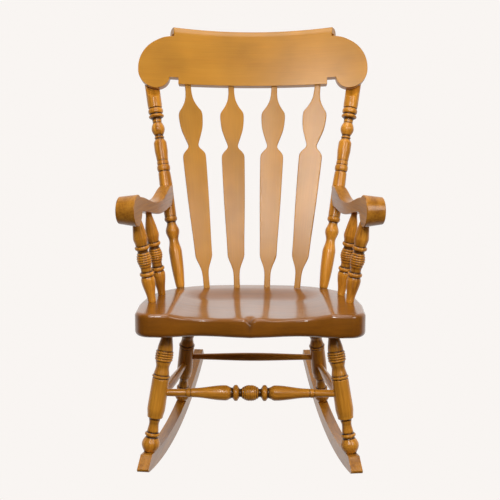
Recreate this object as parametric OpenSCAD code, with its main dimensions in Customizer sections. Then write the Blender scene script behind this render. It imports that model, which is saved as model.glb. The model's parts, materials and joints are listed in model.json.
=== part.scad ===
// Wooden rocking chair with an arrow-splat back, turned posts, legs and arm spindles.
// Origin on the floor under the middle of the rockers. +Z up, the sitter faces -Y.

/* [Seat] */
// Width of the seat board at its widest
seat_w = 556; // [460:1:670]
// Depth of the seat board from its front corners to its rear edge
seat_d = 458; // [420:1:550]
// Thickness of the seat board
seat_t = 57; // [48:1:70]
// Height of the seat's top at its front edge
seat_h = 421; // [350:1:510]
// Fall of the seat towards the rear, degrees
seat_fall = 4; // [0:0.05:6]
// Depth of each scooped dish in the seat
dish_depth = 13; // [6:0.5:18]
// How far the front edge draws back on each side of its middle point
bow_depth = 18; // [0:1:30]

/* [Legs and rockers] */
// Outward splay of the front feet from the legs' tops
front_foot_splay = 46; // [36:0.5:60]
// Outward splay of the rear feet from the legs' tops
rear_foot_splay = 36; // [26:0.5:46]
// Front leg tops, in from the seat's sides
front_leg_inset = 78; // [64:1:95]
// Rear leg tops, in from the seat's sides
rear_leg_inset = 108; // [96:1:125]
// Forward rake of a front foot from its leg's top
front_rake = 38; // [20:1:55]
// Backward rake of a rear foot from its leg's top
rear_rake = 93; // [70:1:110]
// Front leg top, behind the seat's front edge
front_leg_top_y = 90; // [76:1:110]
// Rear leg tops, in from the seat's rear edge
rear_leg_back = 103; // [90:1:130]
// Diameter of a leg's tenon in the seat
leg_tenon_d = 25.4; // [20:0.2:30]
// Diameter of a leg's tenon in the rocker
foot_tenon_d = 19; // [15:0.5:21]
// Radius of the rockers' underside
rocker_r = 1302; // [1000:10:1600]
// Length of a rocker ahead of the front foot
rocker_nose = 72; // [50:1:90]
// Length of a rocker behind the rear foot
rocker_tail = 300; // [240:1:330]
// Height of a rocker
rocker_h = 36; // [32:1:46]
// Thickness of a rocker, side to side
rocker_w = 28; // [24:1:36]
// Lowest point of the rockers at rest, behind the seat's front edge, under the centre of mass
balance_y = 300; // [270:1:335]

/* [Stretchers] */
// Height of the front stretcher above the feet
front_stretcher_rise = 145; // [130:1:170]
// Height of the rear stretcher above the feet
rear_stretcher_rise = 146; // [130:1:170]
// Height of the side stretchers above the feet
side_stretcher_rise = 122; // [100:1:125]
// Diameter of the stretchers' tenons
stretcher_tenon_d = 14; // [10:0.5:16]
// Length of a stretcher's tenon inside a leg, from the leg's axis
stretcher_stop = 4; // [3:0.5:8]

/* [Back] */
// Back posts, in from the seat's sides
post_inset = 78; // [70:0.5:95]
// Back posts, in from the seat's rear edge
post_back = 62; // [50:1:80]
// Lean of the back, degrees from upright
back_lean = 16; // [10:0.5:22]
// Outward splay of the back posts, degrees
post_splay = 8.8; // [4:0.1:12]
// Diameter of a post's tenon in the seat
post_tenon_d = 22; // [18:0.5:26]
// Length of a post above the crest rail's bottom edge
post_over = 90; // [70:1:105]
// Reach of a crest rail's ear past the post's axis
ear_reach = 24.5; // [20:0.5:40]
// Height of the crest rail's bottom edge above the seat, along the back
crest_rise = 582; // [480:1:700]
// Thickness of the crest rail
crest_t = 24; // [18:1:30]
// Radius of the crest rail's curve, at its front face
crest_r = 1222; // [1000:10:1600]
// Width of the ears and notches at each end of the crest rail
crest_step = 112.5; // [104:0.5:125]
// Height of the crest rail at its ears
crest_ear_h = 139; // [130:1:155]
// Height of the crest rail at the ends of its rolled top
crest_h = 168; // [160:1:190]
// Depth of a post's axis behind the crest rail's back face
post_flat = 9; // [4:0.5:12]
// Thickness of a splat
splat_t = 11; // [9:0.5:14]
// Width of a splat at its widest
splat_w = 68; // [50:1:72]
// Thickness of a splat's tenons
splat_tenon_t = 8; // [6:0.5:10]
// Width of a splat's tenons
splat_tenon_w = 13; // [10:0.5:14]

/* [Arms] */
// Thickness of an arm, side to side
arm_t = 40; // [34:1:48]
// Thickness of an arm at its rear end
arm_tail_t = 31; // [26:1:36]
// Width of the scroll at an arm's front
scroll_w = 48; // [40:1:56]
// Radius of the scroll
scroll_r = 39; // [32:1:44]
// Height of the scroll's centre above the seat
arm_rise = 227.5; // [210:0.5:250]
// Scroll's centre, behind the seat's front edge
scroll_y = 105; // [90:1:115]
// Arms' inner faces at the front spindles, in from the seat's sides
arm_inset = 15.5; // [5:0.5:25]
// Front arm spindles, in from the seat's sides
front_spindle_inset = 30; // [26:1:40]
// Rear arm spindles, in from the seat's sides
rear_spindle_inset = 41; // [30:1:50]
// Diameter of an arm spindle's tenon in the seat
spindle_tenon_d = 19; // [16:0.5:22]
// Diameter of an arm spindle's tenon in the arm
spindle_top_d = 16; // [12:0.5:18]
// Depth of every round tenon in the seat
tenon_depth = 30; // [24:1:34]
// Depth of every tenon in an arm
arm_tenon_depth = 20; // [14:1:22]

/* [Fastenings] */
// Glue line round a tenon
fit = 0.1; // [0.05:0.05:0.3]
// Diameter of a screw's shank
screw_d = 4.5; // [3.5:0.5:6]
// Diameter of a screw's head
screw_head_d = 9; // [7:0.5:10]
// Thickness of a screw's head
screw_head_h = 3; // [2:0.5:4]
// Diameter of a wood plug
plug_d = 10; // [9:0.5:12]
// Length of a wood plug, which stands a little proud of its hole
plug_h = 6; // [5:0.5:7]

/* [Hidden] */
$fn = 48;
eps = 0.01;

// ---- Colours of the stained wood and the steel
HONEY = "#C58B45";
AMBER = "#A9692B";
STEEL = "#8A8A8C";

// ---- Vectors
function unit(v) = v / norm(v);
function mid(a, b, t) = a + (b - a) * t;
function side(p, s) = [s * p[0], p[1], p[2]];

// Stands its children, drawn along +Z from the origin, on the line from a to b
module along(a, b) {
  d = b - a;
  translate(a)
    rotate([0, acos(d[2] / norm(d)), atan2(d[1], d[0])])
      children();
}

// ---- Places that follow from the sizes above, behind the seat's front edge or out from its middle
front_leg_x = seat_w / 2 - front_leg_inset;
rear_leg_x = seat_w / 2 - rear_leg_inset;
front_foot_x = front_leg_x + front_foot_splay;
rear_foot_x = rear_leg_x + rear_foot_splay;
front_foot_y = front_leg_top_y - front_rake;
rear_leg_top_y = seat_d - rear_leg_back;
rear_foot_y = rear_leg_top_y + rear_rake;
rocker_front_y = front_foot_y - rocker_nose;
rocker_rear_y = rear_foot_y + rocker_tail;
rocker_len = rocker_rear_y - rocker_front_y;
seat_reach = (rocker_front_y + rocker_rear_y) / 2;
rocker_low_y = balance_y - seat_reach;
post_foot_x = seat_w / 2 - post_inset;
post_y = seat_d - post_back;
post_len = crest_rise + post_over;

// ---- Seat frame: x across, y back along the board, z square to it
module seat_frame() {
  translate([0, -seat_reach, seat_h]) rotate([-seat_fall, 0, 0]) children();
}
function seat_top(y) = seat_h - y * tan(seat_fall);
function seat_under(y) = seat_top(y) - seat_t / cos(seat_fall);
// A point given by its place behind the seat's front edge
function at(x, y, z) = [x, y - seat_reach, z];

// ---- Rockers
rocker_toe = atan((front_foot_x - rear_foot_x) / (rear_foot_y - front_foot_y));
function rocker_x(y) =
  front_foot_x - (y + seat_reach - front_foot_y) * tan(rocker_toe);
function rocker_drop(y, r) = rocker_r - sqrt(r * r - pow((y - rocker_low_y) / cos(rocker_toe), 2));
function rocker_top(y) = rocker_drop(y, rocker_r - rocker_h);

// ---- Leg axes, from foot to seat
front_foot = [front_foot_x, front_foot_y - seat_reach, rocker_top(front_foot_y - seat_reach)];
rear_foot = [rear_foot_x, rear_foot_y - seat_reach, rocker_top(rear_foot_y - seat_reach)];
front_top = at(front_leg_x, front_leg_top_y, seat_under(front_leg_top_y));
rear_top = at(rear_leg_x, rear_leg_top_y, seat_under(rear_leg_top_y));
function on_line(a, b, rise) = mid(a, b, rise / (b[2] - a[2]));

// ---- Back frame: x across, y square to the back, z up along it, from the posts' feet
module back_frame() {
  translate([0, post_y - seat_reach, seat_top(post_y)]) rotate([-back_lean, 0, 0]) children();
}
function back_point(x, y, z) = [
  x,
  post_y - seat_reach + y * cos(back_lean) + z * sin(back_lean),
  seat_top(post_y) - y * sin(back_lean) + z * cos(back_lean)
];
function post_x(z) = post_foot_x + z * tan(post_splay);
crest_back_r = crest_r + crest_t;
// Place along y of the crest rail's centre of curvature: its back face meets the posts' flats
crest_pin_z = crest_rise + crest_ear_h / 2;
crest_half_w = post_x(crest_pin_z) + ear_reach;
crest_mid_half_w = crest_half_w - crest_step;
crest_cy = -post_flat - sqrt(pow(crest_back_r, 2) - pow(post_x(crest_pin_z), 2));
function crest_y(x, r) = crest_cy + sqrt(r * r - x * x);

// ---- Arm frame: x outwards from the inner face, y back along it, z up from the floor
arm_front_y = 150;
scroll_z = seat_h + arm_rise;
arm_x = seat_w / 2 - arm_inset;
// Where a post crosses the arm, and the arm's rear end just ahead of the post's axis
post_arm_z = (scroll_z - seat_top(post_y)) / cos(back_lean);
arm_rear_y = post_y + post_arm_z * sin(back_lean) - 6;
// The arm's inner face runs out level with the inner side of the post
arm_toe = atan((arm_x - post_x(post_arm_z) + 18) / (arm_rear_y - arm_front_y));
module arm_frame() {
  translate([arm_x, arm_front_y - seat_reach, 0]) rotate([0, 0, arm_toe]) children();
}
function arm_point(x, y, z) = [
  arm_x + x * cos(arm_toe) - (y - arm_front_y) * sin(arm_toe),
  arm_front_y - seat_reach + x * sin(arm_toe) + (y - arm_front_y) * cos(arm_toe),
  z
];

// Side outline of an arm behind its scroll: heights of its top and underside, y along it
arm_low_z = scroll_z - 0.5;
arm_thin = 36;
function ease01(t) = (1 - cos(180 * min(1, max(0, t)))) / 2;
function arm_top_z(y) = arm_low_z
  + 32 * (1 - ease01((y - scroll_y) / 195)) + 26 * ease01((y - arm_rear_y + 127) / 105);
function arm_under_z(y) = arm_low_z - arm_thin
  + 29 * (1 - ease01((y - 125) / 215)) + 7 * ease01((y - arm_rear_y + 122) / 115);

// ---- Turned work. Each row is [length, end diameter, kind, middle diameter]:
// "cone" is straight, "ease" an S-curve, "round" a bead or cove, "belly" a slow swelling.
function row_d(kind, d0, d1, dm, t) =
  kind == "cone" ? d0 + (d1 - d0) * t :
  kind == "ease" ? d0 + (d1 - d0) * (1 - cos(180 * t)) / 2 :
  kind == "round" ? d0 + (d1 - d0) * t + (dm - (d0 + d1) / 2) * sqrt(max(0, 1 - pow(2 * t - 1, 2))) :
  d0 + (d1 - d0) * t + (dm - (d0 + d1) / 2) * sin(180 * t);
function row_steps(kind) = kind == "cone" ? 1 : kind == "round" ? 8 : 6;
function turned(rows, i = 0, z = 0, d = 0) =
  i == len(rows) ? [] :
  let(r = rows[i], n = row_steps(r[2]), dm = r[2] == "round" || r[2] == "belly" ? r[3] : 0)
  concat(
    [for (k = [1:n]) let(t = k / n) [row_d(r[2], d, r[1], dm, t) / 2, z + r[0] * t]],
    turned(rows, i + 1, z + r[0], r[1])
  );
function rows_len(rows, i = 0) = i == len(rows) ? 0 : rows[i][0] + rows_len(rows, i + 1);

// A turning from z = 0 with a start diameter, with a tenon at either end
module turning(d0, rows, foot_d, foot_l, head_d, head_l) {
  body = turned(rows, 0, 0, d0);
  l = rows_len(rows);
  rotate_extrude()
    polygon(concat(
      [[0, -foot_l], [foot_d / 2, -foot_l], [foot_d / 2, 0], [d0 / 2, 0]],
      body,
      [[head_d / 2, l], [head_d / 2, l + head_l], [0, l + head_l]]
    ));
}
// The socket for a tenon: start a little before the mouth, run past the tenon's end
module socket(d, l, before = 30) {
  translate([0, 0, -before]) cylinder(h = before + l + 1, d = d + 2 * fit);
}

/* Leg: foot, ball, vase, rings and neck */
LEG_D0 = 28;
LEG_FOOT_ROWS = [
  [2, 30, "cone"], [36, 29, "belly", 44.5], [2, 28, "cone"], [9, 28, "round", 37],
  [22, 23.5, "ease"], [13, 28, "ease"], [3, 38, "cone"], [23, 43.5, "ease"]
];
LEG_RING_ROWS = [
  [2, 37, "cone"], [7, 38, "round", 44], [20, 32, "ease"], [16, 38.5, "ease"],
  [6, 38, "round", 43.5], [6, 38, "round", 44.5], [6, 38, "round", 44.5], [6, 38, "round", 43.5]
];
// Plain length of tenon left showing where a slanting piece enters a surface
show = 6;
// The long body and the neck take up what a leg's length leaves over
leg_body_share = 0.62;
leg_body_d = 41.5;
function leg_rows(l) =
  let(plain = l - rows_len(LEG_FOOT_ROWS) - rows_len(LEG_RING_ROWS) - show)
  concat(
    LEG_FOOT_ROWS, [[plain * leg_body_share, leg_body_d, "ease"]], LEG_RING_ROWS,
    [[plain * (1 - leg_body_share), leg_tenon_d, "ease"], [show, leg_tenon_d, "cone"]]
  );
module leg(a, b) {
  along(a, b)
    turning(LEG_D0, leg_rows(norm(b - a)), foot_tenon_d, foot_depth, leg_tenon_d, tenon_depth);
}
foot_depth = 20;

/* Arm spindle: tulip, collars, ball and cone */
SPINDLE_ROWS = [
  [show, 19, "cone"], [54, 35, "ease"], [5, 32, "cone"], [4, 29, "cone"], [10, 29, "round", 36.5],
  [15, 29, "round", 27], [36, 29, "round", 36.5], [7, 29, "round", 27],
  [10, 29, "round", 36.5], [2, 31, "cone"], [18, 36, "ease"]
];
module arm_spindle(a, b) {
  taper = norm(b - a) - rows_len(SPINDLE_ROWS) - show;
  along(a, b)
    turning(spindle_tenon_d, concat(SPINDLE_ROWS, [[taper, spindle_top_d, "belly", 27], [show, spindle_top_d, "cone"]]),
            spindle_tenon_d, tenon_depth, spindle_top_d, arm_tenon_depth);
}

/* Back post: vase, ball, arm seat, beads, vase, ball and the plain length behind the crest */
POST_ROWS = [
  [8, 25, "cone"], [94, 36.5, "belly", 33.5], [33, 26.2, "ease"], [26, 38.2, "ease"], [25.5, 25, "ease"],
  [5, 33, "cone"], [10, 33, "round", 36], [12, 34, "cone"], [84, 36.5, "belly", 35],
  [12, 35.5, "ease"], [19.5, 34.2, "ease"], [6, 31, "cone"], [18, 31.5, "round", 37],
  [12, 31, "round", 33.5], [6, 33, "cone"], [27, 37, "ease"], [27, 37.2, "cone"],
  [7, 25, "ease"], [3.5, 25, "round", 28.5], [4.5, 23.5, "cone"], [37, 25.5, "belly", 37.6],
  [11, 27, "cone"], [4, 36, "cone"], [8, 37, "round", 43.5], [5, 36.6, "cone"],
  [13, 38, "round", 42.5], [4, 38, "cone"], [13, 41, "ease"]
];
// The head behind the crest rail and the low crown that it ends in
post_head_d = 41;
post_crown_d = 33;
post_crown_h = 3;
// The turned pattern keeps its place between the seat and the crest rail
post_pattern_rise = 580;
function post_rows() =
  [for (r = POST_ROWS) concat([r[0] * crest_rise / post_pattern_rise], [for (k = [1:len(r) - 1]) r[k]])];
function post_a() = back_point(post_foot_x, 0, 0);
function post_b() = back_point(post_x(post_len), 0, post_len);
function post_at(l) = mid(post_a(), post_b(), l / norm(post_b() - post_a()));

// ---- Where things stand
front_spindle_y = 165.5;
rear_spindle_y = 0.6 * seat_d;
spindle_feet = [
  at(seat_w / 2 - front_spindle_inset, front_spindle_y, seat_top(front_spindle_y)),
  at(seat_w / 2 - rear_spindle_inset, rear_spindle_y, seat_top(rear_spindle_y))
];
// An arm spindle leans forward by this much at its head
front_spindle_lean = 18.5;
rear_spindle_lean = 24.5;
function spindle_head(x, y) = arm_point(x, y, arm_under_z(y));
spindle_heads = [
  spindle_head(arm_t / 2, front_spindle_y - front_spindle_lean),
  spindle_head(arm_t / 2 - 5, rear_spindle_y - rear_spindle_lean)
];
// Splats stand at shares of the way from the middle out to the posts and to the crest rail's steps
splat_feet_x = [0.2115 * post_foot_x, 0.634 * post_foot_x];
splat_feet_y = [12, 6];
splat_heads_x = [0.294 * crest_mid_half_w, 0.878 * crest_mid_half_w];
front_stretcher_p = on_line(front_foot, front_top, front_stretcher_rise);
rear_stretcher_p = on_line(rear_foot, rear_top, rear_stretcher_rise);
side_front_p = on_line(front_foot, front_top, side_stretcher_rise);
side_rear_p = on_line(rear_foot, rear_top, side_stretcher_rise);
crest_screw_z = [crest_rise + 25, crest_rise + 62];
arm_screw_z = scroll_z;

// ==== Seat
// Right half of the board's outline, from the middle of the front edge round to the back
bow_half = 119;
corner_r = 42;
function bow(x) = bow_depth * (1 - cos(180 * min(1, x / bow_half))) / 2
  - bow_depth * (x > bow_half ? (1 - cos(180 * min(1, (x - bow_half) / 92))) / 2 : 0);
function half_outline() = let(w = seat_w / 2, cx = w - corner_r - 6) concat(
  [for (x = [0:17:cx]) [x, bow(x)]],
  [for (a = [-80:16:0]) [cx + corner_r * cos(a), corner_r + corner_r * sin(a)]],
  [[w, 0.31 * seat_d], [w - 3, 0.46 * seat_d]],
  [for (a = [8:8:88]) [(w - 4) * pow(cos(a), 0.62), seat_d * (0.5 + 0.5 * pow(sin(a), 1.15))]]
);
module seat_outline() {
  h = half_outline();
  n = len(h);
  polygon(concat(
    h,
    [[0, seat_d]],
    [for (i = [n - 1:-1:1]) [-h[i][0], h[i][1]]]
  ));
}
// One scooped dish: part of a wide ring whose rim just sinks into the board
dish_half_w = 100;
dish_x = 92;
dish_y = 110;
dish_half_l = 282;
module dish() {
  r1 = (pow(dish_half_w, 2) + pow(dish_depth, 2)) / 2 / dish_depth;
  r2 = (pow(dish_half_l, 2) + pow(dish_depth, 2)) / 2 / dish_depth;
  translate([dish_x, dish_y, r2 - dish_depth]) rotate([0, 90, 0])
    rotate([0, 0, -9]) rotate_extrude(angle = 18, $fn = 1440)
      translate([r2 - r1, 0]) intersection() {
        circle(r = r1, $fn = 180);
        translate([0, -r1]) square([r1 * 2, r1 * 2]);
      }
}
module seat() {
  color(HONEY) difference() {
    seat_frame() difference() {
      translate([0, 0, -seat_t]) linear_extrude(seat_t) seat_outline();
      for (s = [-1, 1]) scale([s, 1, 1]) dish();
    }
    for (s = [-1, 1]) {
      along(side(front_top, s), side(front_top + unit(front_top - front_foot), s)) socket(leg_tenon_d, tenon_depth);
      along(side(rear_top, s), side(rear_top + unit(rear_top - rear_foot), s)) socket(leg_tenon_d, tenon_depth);
      along(side(post_a(), s), side(2 * post_a() - post_b(), s)) socket(post_tenon_d, tenon_depth);
      for (i = [0, 1])
        along(side(spindle_feet[i], s), side(2 * spindle_feet[i] - spindle_heads[i], s))
          socket(spindle_tenon_d, tenon_depth);
      for (i = [0, 1]) splat_place(i, s) splat_socket(-1);
    }
  }
}

// ==== Splats
splat_foot_sink = 22;
splat_head_sink = 16;
function splat_foot(i) =
  [splat_feet_x[i], splat_feet_y[i], splat_feet_y[i] * tan(back_lean - seat_fall)];
function splat_head(i) = [splat_heads_x[i], crest_y(splat_heads_x[i], crest_r + crest_t / 2), crest_rise];
function splat_len(i) = norm(splat_head(i) - splat_foot(i));
// Stands a splat's own frame, z up its length and y through its thickness, on its foot
module splat_place(i, s) {
  d = splat_head(i) - splat_foot(i);
  back_frame()
    translate(side(splat_foot(i), s))
      rotate([-atan(d[1] / d[2]), s * atan(d[0] / d[2]), 0])
        rotate([0, 0, -s * asin(splat_heads_x[i] / crest_r)])
          children();
}
module splat_tenon(w, t, l) {
  translate([-w / 2, -t / 2, 0]) cube([w, t, l]);
}
module splat_socket(end, l = 0) {
  c = 2 * fit;
  sink = end < 0 ? splat_foot_sink : splat_head_sink;
  translate([0, 0, end < 0 ? -sink - 1 : l - 12])
    splat_tenon(splat_tenon_w + c, splat_tenon_t + c, end < 0 ? sink + 21 : sink + 13);
}
// Half widths up a splat by share of its length: foot, long tapered blade, waist, spade and neck
// A splat's shoulders stop this far short of the seat and of the crest rail
splat_end_gap = 3;
splat_neck_w = 16;
splat_waist_w = 29;
splat_blade_foot = 0.338;
splat_blade_top = 0.482;
function splat_half(t) =
  t < 0.065 ? splat_neck_w / 2 :
  t < 0.155 ? mid(splat_neck_w / 2, splat_blade_foot * splat_w, ease01((t - 0.065) / 0.09)) :
  t < 0.655 ? mid(splat_blade_foot, splat_blade_top, (t - 0.155) / 0.5) * splat_w :
  t < 0.7 ? mid(splat_blade_top * splat_w, splat_waist_w / 2, ease01((t - 0.655) / 0.045)) :
  t < 0.85 ? mid(splat_waist_w / 2, splat_w / 2, ease01((t - 0.7) / 0.15)) :
  t < 0.95 ? mid(splat_w / 2, splat_neck_w / 2, ease01((t - 0.85) / 0.1)) : splat_neck_w / 2;
module splat(i, s) {
  l = splat_len(i);
  n = 48;
  color(HONEY) splat_place(i, s) {
    intersection() {
      rotate([90, 0, 0]) translate([0, 0, -splat_t / 2]) linear_extrude(splat_t)
        polygon(concat(
          [for (k = [0:n]) [splat_half(k / n), l * k / n]],
          [for (k = [n:-1:0]) [-splat_half(k / n), l * k / n]]
        ));
      translate([-splat_w, -splat_t, splat_end_gap]) cube([2 * splat_w, 2 * splat_t, l - 2 * splat_end_gap]);
    }
    translate([0, 0, -splat_foot_sink])
      splat_tenon(splat_tenon_w, splat_tenon_t, splat_foot_sink + splat_end_gap + 1);
    translate([0, 0, l - splat_end_gap - 1])
      splat_tenon(splat_tenon_w, splat_tenon_t, splat_head_sink + splat_end_gap + 1);
  }
}

// ==== Back posts
module back_post(s) {
  rows = post_rows();
  plain = post_len_axis() - rows_len(rows);
  color(HONEY) difference() {
    along(side(post_a(), s), side(post_b(), s))
      turning(post_tenon_d, concat(rows, [[plain, post_head_d, "cone"]]),
              post_tenon_d, tenon_depth, post_crown_d, post_crown_h);
    crest_cylinder(crest_back_r + fit);
    for (z = crest_screw_z) crest_screw_place(s, z) screw_hole(crest_screw_l);
    arm_screw_place(s) screw_hole(arm_screw_l);
  }
}
function post_len_axis() = norm(post_b() - post_a());

// ==== Crest rail
module crest_cylinder(r) {
  back_frame() translate([0, crest_cy, crest_rise - 30])
    cylinder(h = crest_h + 120, r = r, $fn = 720);
}
ear_r = 97;
lobe_r = 50;
lobe_inner_r = 38;
lobe_sink = 14;
notch_h = 19;
top_half_w = crest_half_w - 98.5;
top_dip = 2;
// Right half of the crest rail's outline, from the middle of its bottom edge
function crest_half() = let(
    w = crest_half_w,
    m = crest_mid_half_w,
    lx = w - lobe_r,
    start = -180 - asin((notch_h + lobe_sink - lobe_inner_r) / lobe_inner_r)
  ) concat(
  [[0, 0], [m, 0], [m, notch_h]],
  [for (k = [0:5]) let(a = start + (-90 - start) * k / 6)
    [lx + lobe_inner_r * cos(a), lobe_inner_r - lobe_sink + lobe_inner_r * sin(a)]],
  [for (a = [-90:10:0]) [lx + lobe_r * cos(a), lobe_r - lobe_sink + lobe_r * sin(a)]],
  [for (a = [2:8:90]) [w - ear_r + ear_r * cos(a), crest_ear_h - ear_r + ear_r * sin(a)]],
  [[top_half_w, crest_ear_h]],
  [for (k = [4:-1:0]) [top_half_w * k / 4, crest_h - top_dip * (1 - pow(k / 4, 2))]]
);
roll_r = 15;
module crest_rail() {
  h = crest_half();
  n = len(h);
  turn = asin(top_half_w / crest_r);
  color(HONEY) difference() {
    union() {
      intersection() {
        back_frame() translate([0, 60, crest_rise]) rotate([90, 0, 0]) linear_extrude(140)
          polygon(concat(h, [for (i = [n - 2:-1:1]) [-h[i][0], h[i][1]]]));
        difference() {
          crest_cylinder(crest_back_r);
          back_frame() translate([0, crest_cy, crest_rise - 40])
            cylinder(h = crest_h + 140, r = crest_r, $fn = 720);
        }
      }
      back_frame() translate([0, crest_cy, crest_rise + crest_h - top_dip - roll_r])
        rotate([0, 0, 90 - turn]) rotate_extrude(angle = 2 * turn, $fn = 720)
          translate([crest_back_r - 4, 0]) circle(r = roll_r, $fn = 32);
    }
    for (s = [-1, 1]) {
      for (i = [0, 1]) splat_place(i, s) splat_socket(1, splat_len(i));
      for (z = crest_screw_z) crest_screw_place(s, z) screw_bore(crest_screw_l);
    }
  }
}

// ==== Arms
// Plan of an arm behind its scroll: full width, then tapering on the outside to its rear end
arm_taper_y = 190;
module arm_taper() {
  rear = arm_rear_y - arm_front_y + 5;
  translate([0, 0, arm_low_z - 60]) linear_extrude(120)
    polygon([
      [-5, scroll_y - arm_front_y - 5], [arm_t, scroll_y - arm_front_y - 5], [arm_t, arm_taper_y - arm_front_y],
      [arm_tail_t, rear], [-5, rear]
    ]);
}
module arm(s) {
  color(AMBER) difference() {
    scale([s, 1, 1]) arm_frame() {
      intersection() {
        rotate([90, 0, 90]) linear_extrude(arm_t)
        translate([-arm_front_y, 0])
          polygon(concat(
            [for (y = [scroll_y:12:arm_rear_y]) [y, arm_top_z(y)]],
            [[arm_rear_y, arm_top_z(arm_rear_y)], [arm_rear_y, arm_under_z(arm_rear_y)]],
            [for (y = [arm_rear_y - 10:-12:125]) [y, arm_under_z(y)]],
            [[scroll_y + 12, scroll_z - 20]]
          ));
        arm_taper();
      }
      translate([0, scroll_y - arm_front_y, scroll_z]) rotate([0, 90, 0])
        cylinder(h = scroll_w, r = scroll_r, $fn = 72);
    }
    for (i = [0, 1])
      along(side(spindle_heads[i], s), side(2 * spindle_heads[i] - spindle_feet[i], s))
        socket(spindle_top_d, arm_tenon_depth);
    along(side(post_at(200), s), side(post_at(340), s))
      cylinder(h = 140, d = 34 + 2 * fit);
    arm_screw_place(s) screw_bore(arm_screw_l);
  }
}

// ==== Stretchers
function half_len(p) = p[0] - stretcher_stop;
// Half of the front stretcher, from its middle out
FRONT_HALF = [
  [20, 28, "round", 37], [6, 21, "round", 20], [4, 34, "cone"], [10, 34, "round", 39],
  [3, 25, "cone"], [17, 37, "ease"], [83, 22, "ease"], [2, 20, "cone"], [10, 20, "round", 22.5],
  [2, 19.5, "cone"]
];
module half_stretcher(d0, rows, l, visible) {
  plain = visible - rows_len(rows);
  turning(d0, concat(rows, [[plain, stretcher_tenon_d + 3, "cone"]]),
          d0, 0, stretcher_tenon_d, l - visible);
}
front_visible = front_stretcher_p[0] - 16;
module front_stretcher() {
  p = front_stretcher_p;
  l = half_len(p);
  color(AMBER) for (s = [-1, 1])
    along([-s * eps, p[1], p[2]], [s, p[1], p[2]])
      half_stretcher(38, FRONT_HALF, l, front_visible);
}
module plain_stretcher(a, b, d_mid) {
  l = norm(b - a);
  gap = 16;
  rows = [[(l - 2 * gap) / 2, d_mid, "ease"], [(l - 2 * gap) / 2, stretcher_tenon_d + 2, "ease"]];
  along(mid(a, b, gap / l), b)
    turning(stretcher_tenon_d + 2, rows,
            stretcher_tenon_d, gap - stretcher_stop, stretcher_tenon_d, gap - stretcher_stop);
}
module rear_stretcher() {
  color(AMBER) plain_stretcher(side(rear_stretcher_p, -1), rear_stretcher_p, 23);
}
module side_stretcher(s) {
  color(AMBER) plain_stretcher(side(side_front_p, s), side(side_rear_p, s), 24);
}
// The holes for the stretchers' ends in the legs
module stretcher_socket(a, b) {
  l = norm(b - a);
  along(mid(a, b, (stretcher_stop - 1) / l), b)
    cylinder(h = 30, d = stretcher_tenon_d + 2 * fit);
}
module stretcher_clear(a, b) {
  l = norm(b - a);
  along(mid(a, b, 16 / l), b) cylinder(h = 20, d = stretcher_tenon_d + 5);
}
module front_leg(s) {
  p = side(front_stretcher_p, s);
  color(AMBER) difference() {
    leg(side(front_foot, s), side(front_top, s));
    stretcher_socket(p, side(p, -1));
    stretcher_clear(p, side(p, -1));
    stretcher_socket(side(side_front_p, s), side(side_rear_p, s));
    stretcher_clear(side(side_front_p, s), side(side_rear_p, s));
    rocker_screw_place(s, front_foot, front_top) screw_bore(rocker_screw_l);
  }
}
module rear_leg(s) {
  p = side(rear_stretcher_p, s);
  color(AMBER) difference() {
    leg(side(rear_foot, s), side(rear_top, s));
    stretcher_socket(p, side(p, -1));
    stretcher_clear(p, side(p, -1));
    stretcher_socket(side(side_rear_p, s), side(side_front_p, s));
    stretcher_clear(side(side_rear_p, s), side(side_front_p, s));
    rocker_screw_place(s, rear_foot, rear_top) screw_bore(rocker_screw_l);
  }
}

// ==== Rockers
module rocker(s) {
  front_t = (-rocker_len / 2 - rocker_low_y) / cos(rocker_toe);
  rear_t = (rocker_len / 2 - rocker_low_y) / cos(rocker_toe);
  end_r = rocker_h / 2 - 0.1;
  mid_r = rocker_r - rocker_h / 2;
  a0 = asin((front_t + end_r) / mid_r);
  a1 = asin((rear_t - end_r) / mid_r);
  color(AMBER) difference() {
    scale([s, 1, 1])
      translate([rocker_x(rocker_low_y), rocker_low_y, rocker_r]) rotate([0, 0, rocker_toe])
        rotate([90, 0, 90]) translate([0, 0, -rocker_w / 2]) {
          rotate([0, 0, a0 - 90]) rotate_extrude(angle = a1 - a0, $fn = 1440)
            translate([rocker_r - rocker_h, 0]) square([rocker_h, rocker_w]);
          for (a = [a0, a1])
            rotate([0, 0, a - 90]) translate([mid_r, 0, 0]) cylinder(h = rocker_w, r = end_r);
        }
    for (p = [[front_foot, front_top], [rear_foot, rear_top]]) {
      along(side(p[0], s), side(2 * p[0] - p[1], s)) socket(foot_tenon_d, foot_depth);
      along(side(p[0], s), side(p[1], s)) cylinder(h = 30, d = LEG_D0 + 6);
      rocker_screw_place(s, p[0], p[1]) screw_hole(rocker_screw_l);
    }
  }
}

// ==== Screws and plugs
crest_screw_l = 32;
arm_screw_l = 46;
rocker_screw_l = 34;
// A screw's frame: head at z = 0, point towards +z
module screw(l) {
  cylinder(h = screw_head_h, d = screw_head_d);
  cylinder(h = l, d = screw_d);
}
// A screw's bore, from well behind its head to just past its point
bore_behind = 20;
module screw_bore(l) {
  translate([0, 0, -bore_behind]) cylinder(h = bore_behind + l + 1, d = screw_d + 2 * fit);
}
// The clearance bore with the plug's counterbore behind the head
counterbore = 40;
module screw_hole(l) {
  screw_bore(l);
  translate([0, 0, -counterbore]) cylinder(h = counterbore + screw_head_h + fit, d = plug_d + 2 * fit);
}
module plug() {
  translate([0, 0, -plug_h]) cylinder(h = plug_h - fit, d = plug_d);
}
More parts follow.
